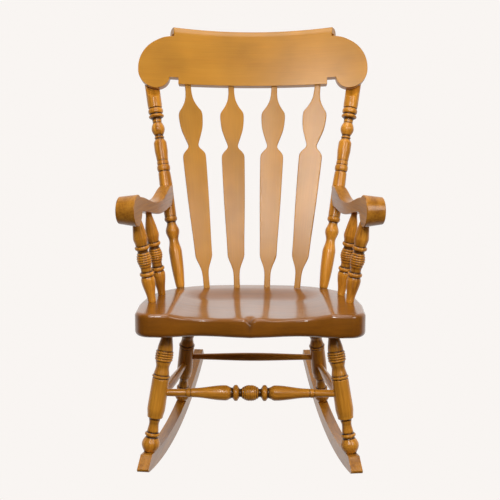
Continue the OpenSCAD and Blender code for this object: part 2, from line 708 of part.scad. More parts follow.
// How far behind a post's axis the heads of its screws lie
crest_screw_back = 13.5;
arm_screw_back = 12.3;
module crest_screw_place(s, z) {
  p = back_point(post_x(z), crest_screw_back, z);
  along(side(p, s), side(p - (back_point(0, 1, 0) - back_point(0, 0, 0)), s)) children();
}
module arm_screw_place(s) {
  q = post_at((arm_screw_z - seat_top(post_y)) / cos(back_lean) / cos(post_splay));
  d = [sin(arm_toe), -cos(arm_toe), 0];
  p = q - arm_screw_back * d;
  along(side(p, s), side(p + d, s)) children();
}
// How far below a leg's foot its screw's head lies, in the rocker
rocker_screw_below = 28;
module rocker_screw_place(s, a, b) {
  d = unit(b - a);
  along(side(a - rocker_screw_below * d, s), side(a, s)) children();
}
module crest_screws() {
  color(STEEL) for (s = [-1, 1], z = crest_screw_z) crest_screw_place(s, z) screw(crest_screw_l);
}
module crest_plugs() {
  color(AMBER) for (s = [-1, 1], z = crest_screw_z) crest_screw_place(s, z) plug();
}
module arm_screws() {
  color(STEEL) for (s = [-1, 1]) arm_screw_place(s) screw(arm_screw_l);
}
module arm_plugs() {
  color(AMBER) for (s = [-1, 1]) arm_screw_place(s) plug();
}
module rocker_screws() {
  color(STEEL) for (s = [-1, 1], p = [[front_foot, front_top], [rear_foot, rear_top]])
    rocker_screw_place(s, p[0], p[1]) screw(rocker_screw_l);
}

seat();
crest_rail();
splat(1, -1);  // splat_left_outer
splat(0, -1);  // splat_left_inner
splat(0, 1);  // splat_right_inner
splat(1, 1);  // splat_right_outer
back_post(-1);  // back_post_left
back_post(1);  // back_post_right
arm(-1);  // arm_left
arm(1);  // arm_right
arm_spindle(side(spindle_feet[0], -1), side(spindle_heads[0], -1));  // arm_spindle_front_left
arm_spindle(spindle_feet[0], spindle_heads[0]);  // arm_spindle_front_right
arm_spindle(side(spindle_feet[1], -1), side(spindle_heads[1], -1));  // arm_spindle_rear_left
arm_spindle(spindle_feet[1], spindle_heads[1]);  // arm_spindle_rear_right
front_leg(-1);  // front_leg_left
front_leg(1);  // front_leg_right
rear_leg(-1);  // rear_leg_left
rear_leg(1);  // rear_leg_right
front_stretcher();
rear_stretcher();
side_stretcher(-1);  // side_stretcher_left
side_stretcher(1);  // side_stretcher_right
rocker(-1);  // rocker_left
rocker(1);  // rocker_right
crest_screws();
crest_plugs();
arm_screws();
arm_plugs();
rocker_screws();
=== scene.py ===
"""An arrow-back rocking chair in honey-stained hardwood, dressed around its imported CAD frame.

Every piece of timber is modelled in its own frame in millimetres, marked with the run of its grain, and then
set in place in metres. The screws and their plugs keep their CAD meshes, because they lie sunk in the wood.
"""

from __future__ import annotations

import json
import logging
import math
import random
from dataclasses import dataclass, field
from enum import Enum
from typing import Callable, Iterable, Optional

import bmesh
import bpy
from mathutils import Matrix, Vector

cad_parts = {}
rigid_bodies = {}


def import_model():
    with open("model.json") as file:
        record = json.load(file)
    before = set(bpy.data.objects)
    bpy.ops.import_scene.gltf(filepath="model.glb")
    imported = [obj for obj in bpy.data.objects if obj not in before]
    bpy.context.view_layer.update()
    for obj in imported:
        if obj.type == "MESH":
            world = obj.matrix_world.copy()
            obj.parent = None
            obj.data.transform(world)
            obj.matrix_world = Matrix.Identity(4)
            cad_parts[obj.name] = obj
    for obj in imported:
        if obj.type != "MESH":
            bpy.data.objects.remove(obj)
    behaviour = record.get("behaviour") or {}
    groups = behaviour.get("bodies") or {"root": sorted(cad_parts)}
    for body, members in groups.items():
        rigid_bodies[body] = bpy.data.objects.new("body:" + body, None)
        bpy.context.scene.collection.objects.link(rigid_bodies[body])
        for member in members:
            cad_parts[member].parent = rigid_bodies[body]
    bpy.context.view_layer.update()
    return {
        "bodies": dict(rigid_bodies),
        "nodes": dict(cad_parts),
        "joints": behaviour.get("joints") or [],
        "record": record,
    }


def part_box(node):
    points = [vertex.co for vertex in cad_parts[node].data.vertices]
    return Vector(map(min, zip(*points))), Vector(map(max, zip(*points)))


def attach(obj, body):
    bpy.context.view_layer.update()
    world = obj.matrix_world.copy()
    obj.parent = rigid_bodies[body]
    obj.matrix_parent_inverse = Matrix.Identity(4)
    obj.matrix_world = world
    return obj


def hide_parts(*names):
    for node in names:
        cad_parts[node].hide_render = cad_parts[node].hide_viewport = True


LOG = logging.getLogger("rocking_chair")
MM = 0.001
Outline = list[tuple[float, float]]


# ---------------------------------------------------------------- small helpers
def linear(code: str) -> tuple[float, float, float, float]:
    """Turns an sRGB hex colour to linear light.

    Args:
        code: six hex digits, with or without a leading hash.

    Returns:
        Red, green, blue and an alpha of 1.
    """
    digits = code.lstrip("#")
    out = []
    for i in (0, 2, 4):
        c = int(digits[i : i + 2], 16) / 255
        out.append(c / 12.92 if c <= 0.04045 else ((c + 0.055) / 1.055) ** 2.4)
    return out[0], out[1], out[2], 1.0


def ease(t: float) -> float:
    """An S-curve from 0 to 1 as t goes from 0 to 1."""
    t = min(1.0, max(0.0, t))
    return (1 - math.cos(math.pi * t)) / 2


def mix(a: float, b: float, t: float) -> float:
    """The value a share t of the way from a to b."""
    return a + (b - a) * t


def spaced(a: float, b: float, n: int) -> list[float]:
    """The values from a to b in n equal steps."""
    return [mix(a, b, k / n) for k in range(n + 1)]


def oval(cx: float, cy: float, rx: float, ry: float, angles: Iterable[float]) -> Outline:
    """Points on an ellipse at angles in degrees."""
    return [(cx + rx * math.cos(a), cy + ry * math.sin(a)) for a in map(math.radians, angles)]


def turned(degrees: float, axis: str) -> Matrix:
    """A turn by degrees about an axis."""
    return Matrix.Rotation(math.radians(degrees), 4, axis)


def tangent(degrees: float) -> float:
    """The rise for each unit of run at an angle in degrees."""
    return math.tan(math.radians(degrees))


def side_plane(x: float, y: float = 0.0) -> Matrix:
    """A plane whose outline runs front to back and up, with its thickness across the chair."""
    return Matrix(((0, 0, 1, x), (1, 0, 0, y), (0, 1, 0, 0), (0, 0, 0, 1)))


def mirrored(p: Vector, side: int) -> Vector:
    """A point on the chair's right moved to the given side, 1 or -1."""
    return Vector((p.x * side, p.y, p.z))


def on_line(a: Vector, b: Vector) -> Matrix:
    """The frame that stands at a with its z axis towards b."""
    turn = (b - a).to_track_quat("Z", "Y").to_matrix().to_4x4()
    return Matrix.Translation(a) @ turn


def add_object(name: str, data: bpy.types.ID) -> bpy.types.Object:
    """Puts a new object in the scene."""
    made = bpy.data.objects.new(name, data)
    bpy.context.scene.collection.objects.link(made)
    return made


def bare_tree(owner: bpy.types.ID) -> bpy.types.NodeTree:
    """Turns on a material's or world's nodes, and clears them."""
    owner.use_nodes = True
    owner.node_tree.nodes.clear()
    return owner.node_tree


def add_node(tree: bpy.types.NodeTree, kind: str, settings: Optional[dict] = None,
             links: Optional[dict] = None) -> bpy.types.Node:
    """Adds one shader node.

    Args:
        tree: the node tree that it joins.
        kind: the node's type name.
        settings: values by attribute name, or by input name or number.
        links: output sockets by input name or number.

    Returns:
        The new node.
    """
    node = tree.nodes.new(kind)
    for key, value in (settings or {}).items():
        if isinstance(key, str) and hasattr(node, key):
            setattr(node, key, value)
        else:
            node.inputs[key].default_value = value
    for key, socket in (links or {}).items():
        tree.links.new(socket, node.inputs[key])
    return node


def ramp(tree: bpy.types.NodeTree, source: bpy.types.NodeSocket,
         stops: list[tuple[float, tuple[float, float, float, float]]]) -> bpy.types.NodeSocket:
    """Adds a colour ramp over a value.

    Args:
        tree: the node tree that it joins.
        source: the value's socket.
        stops: each stop's place and colour.

    Returns:
        The ramp's colour socket.
    """
    node = add_node(tree, "ShaderNodeValToRGB", links={"Fac": source})
    elements = node.color_ramp.elements
    while len(elements) < len(stops):
        elements.new(0.5)
    for element, (place, colour) in zip(elements, stops):
        element.position = place
        element.color = colour
    return node.outputs["Color"]


# ---------------------------------------------------------------- finishes
@dataclass(frozen=True)
class StainedHardwood:
    """Beech-like hardwood, stained, darkened in its grooves by painted shade and lacquered to a satin sheen.

    The stain gathers in the early wood, so the grain reads as soft darker streaks along the piece. The
    lacquer closes the pores, so the light slides over it in broad soft reflections.
    """

    name: str
    light: str
    base: str
    dark: str
    # Dark brown for painted shade in grooves and the seat's cleft, and for the even stain tone of the arms
    # and rockers
    stain_and_painted_shade: str = "#2E1505"
    streak_mm: float = 7.0
    streak_run: float = 22.0
    fibre_mm: float = 2.2
    contrast: float = 1.0
    roughness: float = 0.36
    coat: float = 0.4
    coat_roughness: float = 0.2
    bump_mm: float = 0.12
    specular: float = 0.5
    figure_mm: float = 30.0
    figure_run: float = 9.0
    fibre_run: float = 30.0
    figure_share: float = 0.55
    tone_spread: float = 0.13

    def material(self) -> bpy.types.Material:
        """Builds the node material.

        Returns:
            The material.
        """
        made = bpy.data.materials.new(self.name)
        tree = bare_tree(made)
        grain = add_node(tree, "ShaderNodeAttribute", {"attribute_name": "grain"}).outputs["Vector"]
        stain_and_painted_shade = add_node(tree, "ShaderNodeAttribute", {"attribute_name": "stain_and_painted_shade"}).outputs["Fac"]

        def fibres(size_mm: float, run: float, detail: float,
                   distortion: float = 0.0) -> bpy.types.NodeSocket:
            """A noise drawn out along the grain, with features of a size in millimetres."""
            step = 1 / (size_mm * MM)
            spread = add_node(tree, "ShaderNodeMapping", {"Scale": (step, step, step / run)},
                              {"Vector": grain})
            noise = add_node(tree, "ShaderNodeTexNoise",
                             {"Scale": 1.0, "Detail": detail, "Roughness": 0.55, "Distortion": distortion},
                             {"Vector": spread.outputs["Vector"]})
            return noise.outputs["Fac"]

        # Broad figure, a few centimetres wide, and the streaks of early and late wood
        figure = fibres(self.figure_mm, self.figure_run, 2.0, 0.6)
        streaks = fibres(self.streak_mm, self.streak_run, 4.0, 0.3)
        # Pores and fibres are a third of a millimetre wide in the wood, and drawn coarser so that they show
        fine = fibres(self.fibre_mm, self.fibre_run, 3.0)
        # Blotches where the stain took more or less
        stain = add_node(tree, "ShaderNodeTexNoise", {"Scale": 9.0, "Detail": 2.0, "Roughness": 0.5},
                         {"Vector": grain}).outputs["Fac"]
        streak_part = add_node(tree, "ShaderNodeMath", {"operation": "MULTIPLY", 1: 1 - self.figure_share},
                               {0: streaks})
        both = add_node(tree, "ShaderNodeMath", {"operation": "MULTIPLY_ADD", 1: self.figure_share},
                        {0: figure, 2: streak_part.outputs[0]})
        spread = self.tone_spread / self.contrast
        colour = ramp(tree, both.outputs[0], [
            (0.5 - spread, linear(self.dark)), (0.5, linear(self.base)), (0.5 + spread, linear(self.light))])
        fine_tone = add_node(tree, "ShaderNodeMapRange",
                             {"From Min": 0.3, "From Max": 0.7, "To Min": 1 - 0.16 * self.contrast,
                              "To Max": 1 + 0.1 * self.contrast}, {"Value": fine})
        stain_tone = add_node(tree, "ShaderNodeMapRange",
                              {"From Min": 0.3, "From Max": 0.7, "To Min": 0.86, "To Max": 1.1},
                              {"Value": stain})
        tone = add_node(tree, "ShaderNodeMath", {"operation": "MULTIPLY"},
                        {0: fine_tone.outputs[0], 1: stain_tone.outputs[0]})
        toned = add_node(tree, "ShaderNodeVectorMath", {"operation": "SCALE"},
                         {"Vector": colour, "Scale": tone.outputs[0]})
        # A dark brown mixed in by a per-vertex amount: painted shade in the turnings' grooves and the seat's
        # cleft, and an even darker stain tone over the arms and rockers
        stained_and_shaded = add_node(tree, "ShaderNodeMix", {"data_type": "RGBA", 7: linear(self.stain_and_painted_shade)},
                          {0: stain_and_painted_shade, 6: toned.outputs[0]})
        rough = add_node(tree, "ShaderNodeMapRange",
                         {"From Min": 0.3, "From Max": 0.7, "To Min": self.roughness - 0.05,
                          "To Max": self.roughness + 0.07}, {"Value": fine})
        relief = add_node(tree, "ShaderNodeBump", {"Strength": 0.35, "Distance": self.bump_mm * MM},
                          {"Height": fine})
        shader = add_node(tree, "ShaderNodeBsdfPrincipled",
                          {"IOR": 1.5, "Specular IOR Level": self.specular, "Coat Weight": self.coat,
                           "Coat Roughness": self.coat_roughness, "Coat IOR": 1.5},
                          {"Base Color": stained_and_shaded.outputs[2], "Roughness": rough.outputs[0],
                           "Normal": relief.outputs[0]})
        add_node(tree, "ShaderNodeOutputMaterial", links={"Surface": shader.outputs[0]})
        return made


@dataclass(frozen=True)
class ZincPlatedSteel:
    """Zinc-plated wood screws: a dull cold grey with faint rolling marks."""

    name: str = "zinc_plated_steel_screws"
    colour: str = "#9B9C9E"
    mark_mm: float = 1.5

    def material(self) -> bpy.types.Material:
        """Builds the node material.

        Returns:
            The material.
        """
        made = bpy.data.materials.new(self.name)
        tree = bare_tree(made)
        place = add_node(tree, "ShaderNodeTexCoord").outputs["Object"]
        marks = add_node(tree, "ShaderNodeTexNoise", {"Scale": 1 / (self.mark_mm * MM), "Detail": 2.0},
                         {"Vector": place})
        rough = add_node(tree, "ShaderNodeMapRange", {"To Min": 0.35, "To Max": 0.55},
                         {"Value": marks.outputs["Fac"]})
        shader = add_node(tree, "ShaderNodeBsdfPrincipled",
                          {"Metallic": 1.0, "Base Color": linear(self.colour)},
                          {"Roughness": rough.outputs[0]})
        add_node(tree, "ShaderNodeOutputMaterial", links={"Surface": shader.outputs[0]})
        return made


class Finish(Enum):
    """The chair's finishes, one for each of the record's material slots."""

    # Wide flat stock for the crest rail and the splats: the palest, most golden take of the stain
    BACK = StainedHardwood("satin_lacquered_honey_beech_boards", "#BE8523", "#B57A18", "#AB6F12",
                           streak_mm=4.0, streak_run=40.0, contrast=0.3, coat=0.62, coat_roughness=0.24,
                           bump_mm=0.06, specular=0.1)
    # The seat's glued-up plank: deeper, as more coats went on
    SEAT = StainedHardwood("satin_lacquered_amber_beech_seat", "#8C5406", "#834C05", "#764103",
                           streak_mm=8.0, streak_run=40.0, contrast=0.5, coat=0.9, coat_roughness=0.15,
                           specular=0.2)
    # Turned and shaped stock: end-grain shoulders drink the stain, and painted shade darkens the cuts where
    # shade falls
    TURNED = StainedHardwood("amber_beech_turnings_with_painted_groove_shade", "#E29A33", "#CB8526", "#A06214",
                             streak_mm=4.5, fibre_mm=1.6, contrast=0.8, coat=0.6, coat_roughness=0.22,
                             bump_mm=0.04, specular=0.12)
    PLUG = StainedHardwood("amber_beech_face_grain_plugs", "#B06C20", "#955714", "#783F0B", streak_mm=3.0)
    SCREW = ZincPlatedSteel()


_MATERIALS: dict[Finish, bpy.types.Material] = {}


def material_of(finish: Finish) -> bpy.types.Material:
    """A finish's material, made the first time that it is asked for."""
    if finish not in _MATERIALS:
        _MATERIALS[finish] = finish.value.material()
    return _MATERIALS[finish]


# ---------------------------------------------------------------- timber
class Timber:
    """One piece of wood while it is shaped: a bmesh in millimetres in the piece's own frame."""

    def __init__(self, name: str, finish: Finish, seed: int) -> None:
        """Starts an empty piece.

        Args:
            name: its CAD node's name. The object is named for it, with "_wood" after it.
            finish: its finish.
            seed: which part of the endless grain pattern it is cut from.
        """
        self.name = name
        self.finish = finish
        self.bm = bmesh.new()
        self.grain = self.bm.verts.layers.float_vector.new("grain")
        # How much dark brown each vertex takes: painted shade in grooves and in the seat's cleft, and an even
        # stain tone on the arms and rockers
        self.stain_and_painted_shade = self.bm.verts.layers.float.new("stain_and_painted_shade")
        pick = random.Random(seed)
        self.offset = Vector((pick.uniform(-4, 4), pick.uniform(-4, 4), pick.uniform(-4, 4)))

    def slab(self, outline: Outline, thickness: float, plane: Matrix) -> list[bmesh.types.BMVert]:
        """Saws a board to an outline.

        Args:
            outline: the outline's corners.
            thickness: the board's thickness, from the outline along the plane's z axis.
            plane: where the outline's plane stands.

        Returns:
            The board's vertices.
        """
        verts = [self.bm.verts.new(plane @ Vector((x, y, 0))) for x, y in outline]
        face = self.bm.faces.new(verts)
        made = bmesh.ops.extrude_face_region(self.bm, geom=[face])["geom"]
        far = [g for g in made if isinstance(g, bmesh.types.BMVert)]
        bmesh.ops.translate(self.bm, verts=far, vec=plane.to_3x3() @ Vector((0, 0, thickness)))
        return verts + far

    def tidy(self) -> None:
        """Merges doubles and turns every face outwards."""
        bmesh.ops.remove_doubles(self.bm, verts=self.bm.verts, dist=0.004)
        bmesh.ops.recalc_face_normals(self.bm, faces=self.bm.faces)

    def round_over(self, edges: list[bmesh.types.BMEdge], radius: float, segments: int = 4) -> None:
        """Rounds edges over.

        Args:
            edges: the edges.
            radius: how far the rounding reaches on each side.
            segments: how many faces cross it.
        """
        bmesh.ops.bevel(self.bm, geom=edges, offset=radius, offset_type="OFFSET", segments=segments,
                        profile=0.5, affect="EDGES", clamp_overlap=True, material=-1)

    def sharp_edges(self, angle: float = 40.0) -> list[bmesh.types.BMEdge]:
        """The edges whose faces meet at more than an angle in degrees."""
        limit = math.radians(angle)
        return [e for e in self.bm.edges if len(e.link_faces) == 2 and e.calc_face_angle(0.0) > limit]

    def slice(self, axis: int, low: float, high: float, step: float) -> None:
        """Cuts the faces across on planes square to an axis, so that they can bend.

        Args:
            axis: 0, 1 or 2.
            low: the first plane's place.
            high: no plane stands past this.
            step: the distance between planes.
        """
        normal = Vector([float(i == axis) for i in range(3)])
        place = low
        while place < high:
            geom = self.bm.verts[:] + self.bm.edges[:] + self.bm.faces[:]
            bmesh.ops.bisect_plane(self.bm, geom=geom, dist=0.01, plane_co=normal * place, plane_no=normal)
            place += step

    def mark(self, turn: Matrix, stain_and_painted_shade: Optional[Callable[[Vector], float]] = None) -> None:
        """Writes the run of the grain and the amount of dark brown, painted shade and stain tone, on every
        vertex.

        Args:
            turn: turns the piece's own frame so that the grain runs along z.
            stain_and_painted_shade: how much dark brown lies at a point, from 0 to 1: painted shade in
                grooves and in the seat's cleft, and an even stain tone on the arms and rockers.
        """
        for v in self.bm.verts:
            v[self.grain] = (turn @ v.co) * MM + self.offset
            v[self.stain_and_painted_shade] = stain_and_painted_shade(v.co) if stain_and_painted_shade else 0.0

    def bend(self, move: Callable[[Vector], Vector]) -> None:
        """Moves every vertex by a rule."""
        for v in self.bm.verts:
            v.co = move(v.co)

    def place(self, frame: Matrix, flat: bool = False, sharp: float = 38.0) -> bpy.types.Object:
        """Sets the finished piece in the chair.

        Args:
            frame: the piece's own frame in the chair, in millimetres.
            flat: whether its broad faces read as flat between their rounded edges.
            sharp: edges sharper than this many degrees stay crisp.

        Returns:
            The piece's object.
        """
        bmesh.ops.transform(self.bm, matrix=Matrix.Scale(MM, 4) @ frame, verts=self.bm.verts)
        bmesh.ops.remove_doubles(self.bm, verts=self.bm.verts, dist=4e-6)
        bmesh.ops.recalc_face_normals(self.bm, faces=self.bm.faces)
        limit = math.radians(sharp)
        for f in self.bm.faces:
            f.smooth = True
        for e in self.bm.edges:
            e.smooth = e.calc_face_angle(0.0) < limit
        mesh = bpy.data.meshes.new(self.name + "_wood")
        self.bm.to_mesh(mesh)
        self.bm.free()
        piece = add_object(self.name + "_wood", mesh)
        mesh.materials.append(material_of(self.finish))
        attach(piece, "root")
        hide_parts(self.name)
        if flat:
            weighted = piece.modifiers.new("flat_faces", "WEIGHTED_NORMAL")
            weighted.keep_sharp = True
        low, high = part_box(self.name)
        mine = [Vector([pick(v.co[i] for v in mesh.vertices) for i in range(3)]) for pick in (min, max)]
        off = max(max(abs(a) for a in mine[0] - low), max(abs(a) for a in mine[1] - high))
        LOG.info("%s: %d faces, %.1f mm off its CAD box", piece.name, len(mesh.polygons), off / MM)
        return piece


# ---------------------------------------------------------------- turned work
class Cut(Enum):
    """How a turner's row runs from one diameter to the next."""

    CONE = "straight"
    EASE = "S-curve"
    ROUND = "bead or cove"
    BELLY = "slow swelling"


@dataclass(frozen=True)
class Row:
    """One row of a turning: its length, the diameter that it ends on, its cut and its middle diameter."""

    length: float
    end: float
    cut: Cut = Cut.CONE
    middle: float = 0.0

    def diameter(self, start: float, t: float) -> float:
        """The diameter a share t along the row."""
        if self.cut is Cut.EASE:
            return mix(start, self.end, ease(t))
        bulge = self.middle - (start + self.end) / 2
        if self.cut is Cut.ROUND:
            return mix(start, self.end, t) + bulge * math.sqrt(max(0.0, 1 - (2 * t - 1) ** 2))
        if self.cut is Cut.BELLY:
            return mix(start, self.end, t) + bulge * math.sin(math.pi * t)
        return mix(start, self.end, t)


@dataclass
class Turning:
    """A turned piece: rows from one end to the other, spun about the z axis."""

    start: float
    rows: list[Row]
    steps: int = 40
    pitch: float = 0.9

    def profile(self) -> Outline:
        """The turned outline, as evenly spaced radii and heights with softened corners."""
        raw: Outline = [(self.start / 2, 0.0)]
        height, d = 0.0, self.start
        for r in self.rows:
            n = 1 if r.cut is Cut.CONE else 24
            for k in range(1, n + 1):
                t = k / n if r.cut is not Cut.ROUND else (1 - math.cos(math.pi * k / n)) / 2
                raw.append((r.diameter(d, t) / 2, height + r.length * t))
            height += r.length
            d = r.end
        even: Outline = [raw[0]]
        carry = 0.0
        for (r0, z0), (r1, z1) in zip(raw, raw[1:]):
            run = math.hypot(r1 - r0, z1 - z0)
            at = self.pitch - carry
            while at <= run:
                even.append((mix(r0, r1, at / run), mix(z0, z1, at / run)))
                at += self.pitch
            carry = run - (at - self.pitch)
        even.append(raw[-1])
        for _ in range(2):
            even = [even[0]] + [
                ((a[0] + 2 * b[0] + c[0]) / 4, (a[1] + 2 * b[1] + c[1]) / 4)
                for a, b, c in zip(even, even[1:], even[2:])
            ] + [even[-1]]
        return even

    def groove_shade_rule(self, outline: Outline) -> Callable[[Vector], float]:
        """How much painted shade darkens the grooves, standing in for the shade that they hold.

        Args:
            outline: the turned outline.

        Returns:
            A rule that gives the painted shade at a point of the turning.
        """
        def valley(i: int, reach: float) -> float:
            """How far the outline sinks below its own neighbourhood."""
            z = outline[i][1]
            near = [(math.exp(-((p[1] - z) / reach) ** 2), p[0])
                    for p in outline if abs(p[1] - z) < 2.5 * reach]
            return sum(w * r for w, r in near) / sum(w for w, _ in near) - outline[i][0]

        # Painted shade: wide hollows darken a little for their depth, and narrow cuts darken the most
        dark = [min(0.9, max(0.0, valley(i, 4.5) * 0.75 + valley(i, 1.6) * 2.4)) for i in range(len(outline))]
        heights = [p[1] for p in outline]

        def rule(p: Vector) -> float:
            """The glaze at a point."""
            low, high = 0, len(heights) - 1
            while high - low > 1:
                middle = (low + high) // 2
                if heights[middle] <= p.z:
                    low = middle
                else:
                    high = middle
            return dark[low] if p.z - heights[low] < heights[high] - p.z else dark[high]

        return rule

    def turn(self, name: str, finish: Finish, seed: int, foot: float = 0.0, head: float = 0.0) -> Timber:
        """Turns the piece.

        Args:
            name: the piece's name.
            finish: its finish.
            seed: its place in the grain.
            foot: length hidden in its neighbour at the start.
            head: length hidden in its neighbour at the end.

        Returns:
            The turned timber.
        """
        piece = Timber(name, finish, seed)
        bm = piece.bm
        outline = self.profile()
        rule = self.groove_shade_rule(outline)
        last = outline[-1]
        line = ([(0.0, -foot), (self.start / 2 - 1, -foot)] + outline
                + [(last[0] - 1, last[1] + head), (0.0, last[1] + head)])
        verts = [bm.verts.new((r, 0, z)) for r, z in line]
        edges = [bm.edges.new(pair) for pair in zip(verts, verts[1:])]
        bmesh.ops.spin(bm, geom=verts + edges, cent=(0, 0, 0), axis=(0, 0, 1), angle=2 * math.pi,
                       steps=self.steps, use_merge=True, use_duplicate=False)
        piece.tidy()
        piece.mark(Matrix.Identity(4), rule)
        return piece


C, E, R, B = Cut.CONE, Cut.EASE, Cut.ROUND, Cut.BELLY


def rows(*table: tuple) -> list[Row]:
    """Rows from a plain table of (length, end diameter, cut, middle diameter)."""
    return [Row(*line) for line in table]


def rows_length(table: list[Row]) -> float:
    """The length of rows together."""
    return sum(r.length for r in table)


# ---------------------------------------------------------------- the chair's frame of sizes
@dataclass
class Layout:
    """The sizes that set where everything stands, in millimetres: seat first, then legs, back and arms."""

    seat_w: float = 556
    seat_d: float = 458
    seat_t: float = 57
    seat_h: float = 421
    seat_fall: float = 4
    seat_reach: float = 364
    front_foot: tuple[float, float] = (246, 52)
    rear_foot: tuple[float, float] = (206, 448)
    front_leg: tuple[float, float] = (200, 90)
    rear_leg: tuple[float, float] = (170, 355)
    rocker_r: float = 1302
    rocker_len: float = 761
    rocker_h: float = 36
    rocker_w: float = 28
    rocker_low_y: float = -64
    post_foot_x: float = 200
    post_y: float = 396
    back_lean: float = 16
    post_splay: float = 8.8
    post_len: float = 670
    crest_rise: float = 582
    crest_t: float = 24
    crest_r: float = 1222
    crest_ear_h: float = 139
    post_flat: float = 9
    scroll_y: float = 105
    arm_front_y: float = 150
    arm_x: float = 262.5
    arm_t: float = 40
    arm_rise: float = 227.5
    arm_thin: float = 36

    def __post_init__(self) -> None:
        """Works out the frames that other pieces stand in."""
        back = turned(-self.back_lean, "X")
        self.back = Matrix.Translation(self.at(0, self.post_y, self.seat_top(self.post_y))) @ back
        fall = turned(-self.seat_fall, "X")
        self.seat = Matrix.Translation((0, -self.seat_reach, self.seat_h)) @ fall
        self.crest_pin_z = self.crest_rise + self.crest_ear_h / 2
        back_r = self.crest_r + self.crest_t
        self.crest_cy = -self.post_flat - math.sqrt(back_r**2 - self.post_x(self.crest_pin_z) ** 2)
        self.scroll_z = self.seat_h + self.arm_rise
        self.post_arm_z = ((self.scroll_z - self.seat_top(self.post_y))
                           / math.cos(math.radians(self.back_lean)))
        self.arm_rear_y = self.post_y + self.post_arm_z * math.sin(math.radians(self.back_lean)) - 6
        run_in = self.arm_x - self.post_x(self.post_arm_z) + 18
        self.arm_toe = math.atan(run_in / (self.arm_rear_y - self.arm_front_y))
        self.arm = (Matrix.Translation((self.arm_x, self.arm_front_y - self.seat_reach, 0))
                    @ Matrix.Rotation(self.arm_toe, 4, "Z"))

    def at(self, x: float, y: float, z: float) -> Vector:
        """A point given by its place behind the seat's front edge."""
        return Vector((x, y - self.seat_reach, z))

    def seat_top(self, y: float) -> float:
        """Height of the board's flat top."""
        return self.seat_h - y * tangent(self.seat_fall)

    def seat_under(self, y: float) -> float:
        """Height of the board's underside."""
        return self.seat_top(y) - self.seat_t / math.cos(math.radians(self.seat_fall))

    def post_x(self, z: float) -> float:
        """Distance of a post's axis from the middle, up the back."""
        return self.post_foot_x + z * tangent(self.post_splay)

    def crest_y(self, x: float, r: float) -> float:
        """Place through the back of a point on a curve of radius r about the crest's centre."""
        return self.crest_cy + math.sqrt(r * r - x * x)

    def post_ends(self) -> tuple[Vector, Vector]:
        """A back post's foot and head, on the right."""
        foot = self.back @ Vector((self.post_foot_x, 0, 0))
        return foot, self.back @ Vector((self.post_x(self.post_len), 0, self.post_len))

    @property
    def rocker_toe(self) -> float:
        """The rockers' toe-out towards the front, in radians."""
        return math.atan((self.front_foot[0] - self.rear_foot[0]) / (self.rear_foot[1] - self.front_foot[1]))

    def rocker_x(self, y: float) -> float:
        """Distance of a rocker from the middle, in the chair's frame."""
        return self.front_foot[0] - (y + self.seat_reach - self.front_foot[1]) * math.tan(self.rocker_toe)

    def rocker_top(self, y: float) -> float:
        """Height of a rocker's top edge."""
        run = (y - self.rocker_low_y) / math.cos(self.rocker_toe)
        return self.rocker_r - math.sqrt((self.rocker_r - self.rocker_h) ** 2 - run**2)

    def leg_ends(self, front: bool) -> tuple[Vector, Vector]:
        """A leg's foot and head, on the right."""
        foot, head = (self.front_foot, self.front_leg) if front else (self.rear_foot, self.rear_leg)
        y = foot[1] - self.seat_reach
        return Vector((foot[0], y, self.rocker_top(y))), self.at(head[0], head[1], self.seat_under(head[1]))

    def on_leg(self, front: bool, rise: float) -> Vector:
        """The point of a leg's axis at a height above its foot, on the right."""
        foot, head = self.leg_ends(front)
        return foot.lerp(head, rise / (head.z - foot.z))

    def arm_top(self, y: float) -> float:
        """Height of an arm's top edge."""
        low = self.scroll_z - 0.5
        return low + 32 * (1 - ease((y - self.scroll_y) / 195)) + 26 * ease((y - self.arm_rear_y + 127) / 105)

    def arm_under(self, y: float) -> float:
        """Height of an arm's lower edge."""
        low = self.scroll_z - 0.5 - self.arm_thin
        return low + 29 * (1 - ease((y - 125) / 215)) + 7 * ease((y - self.arm_rear_y + 122) / 115)


SIDES = {"left": -1, "right": 1}


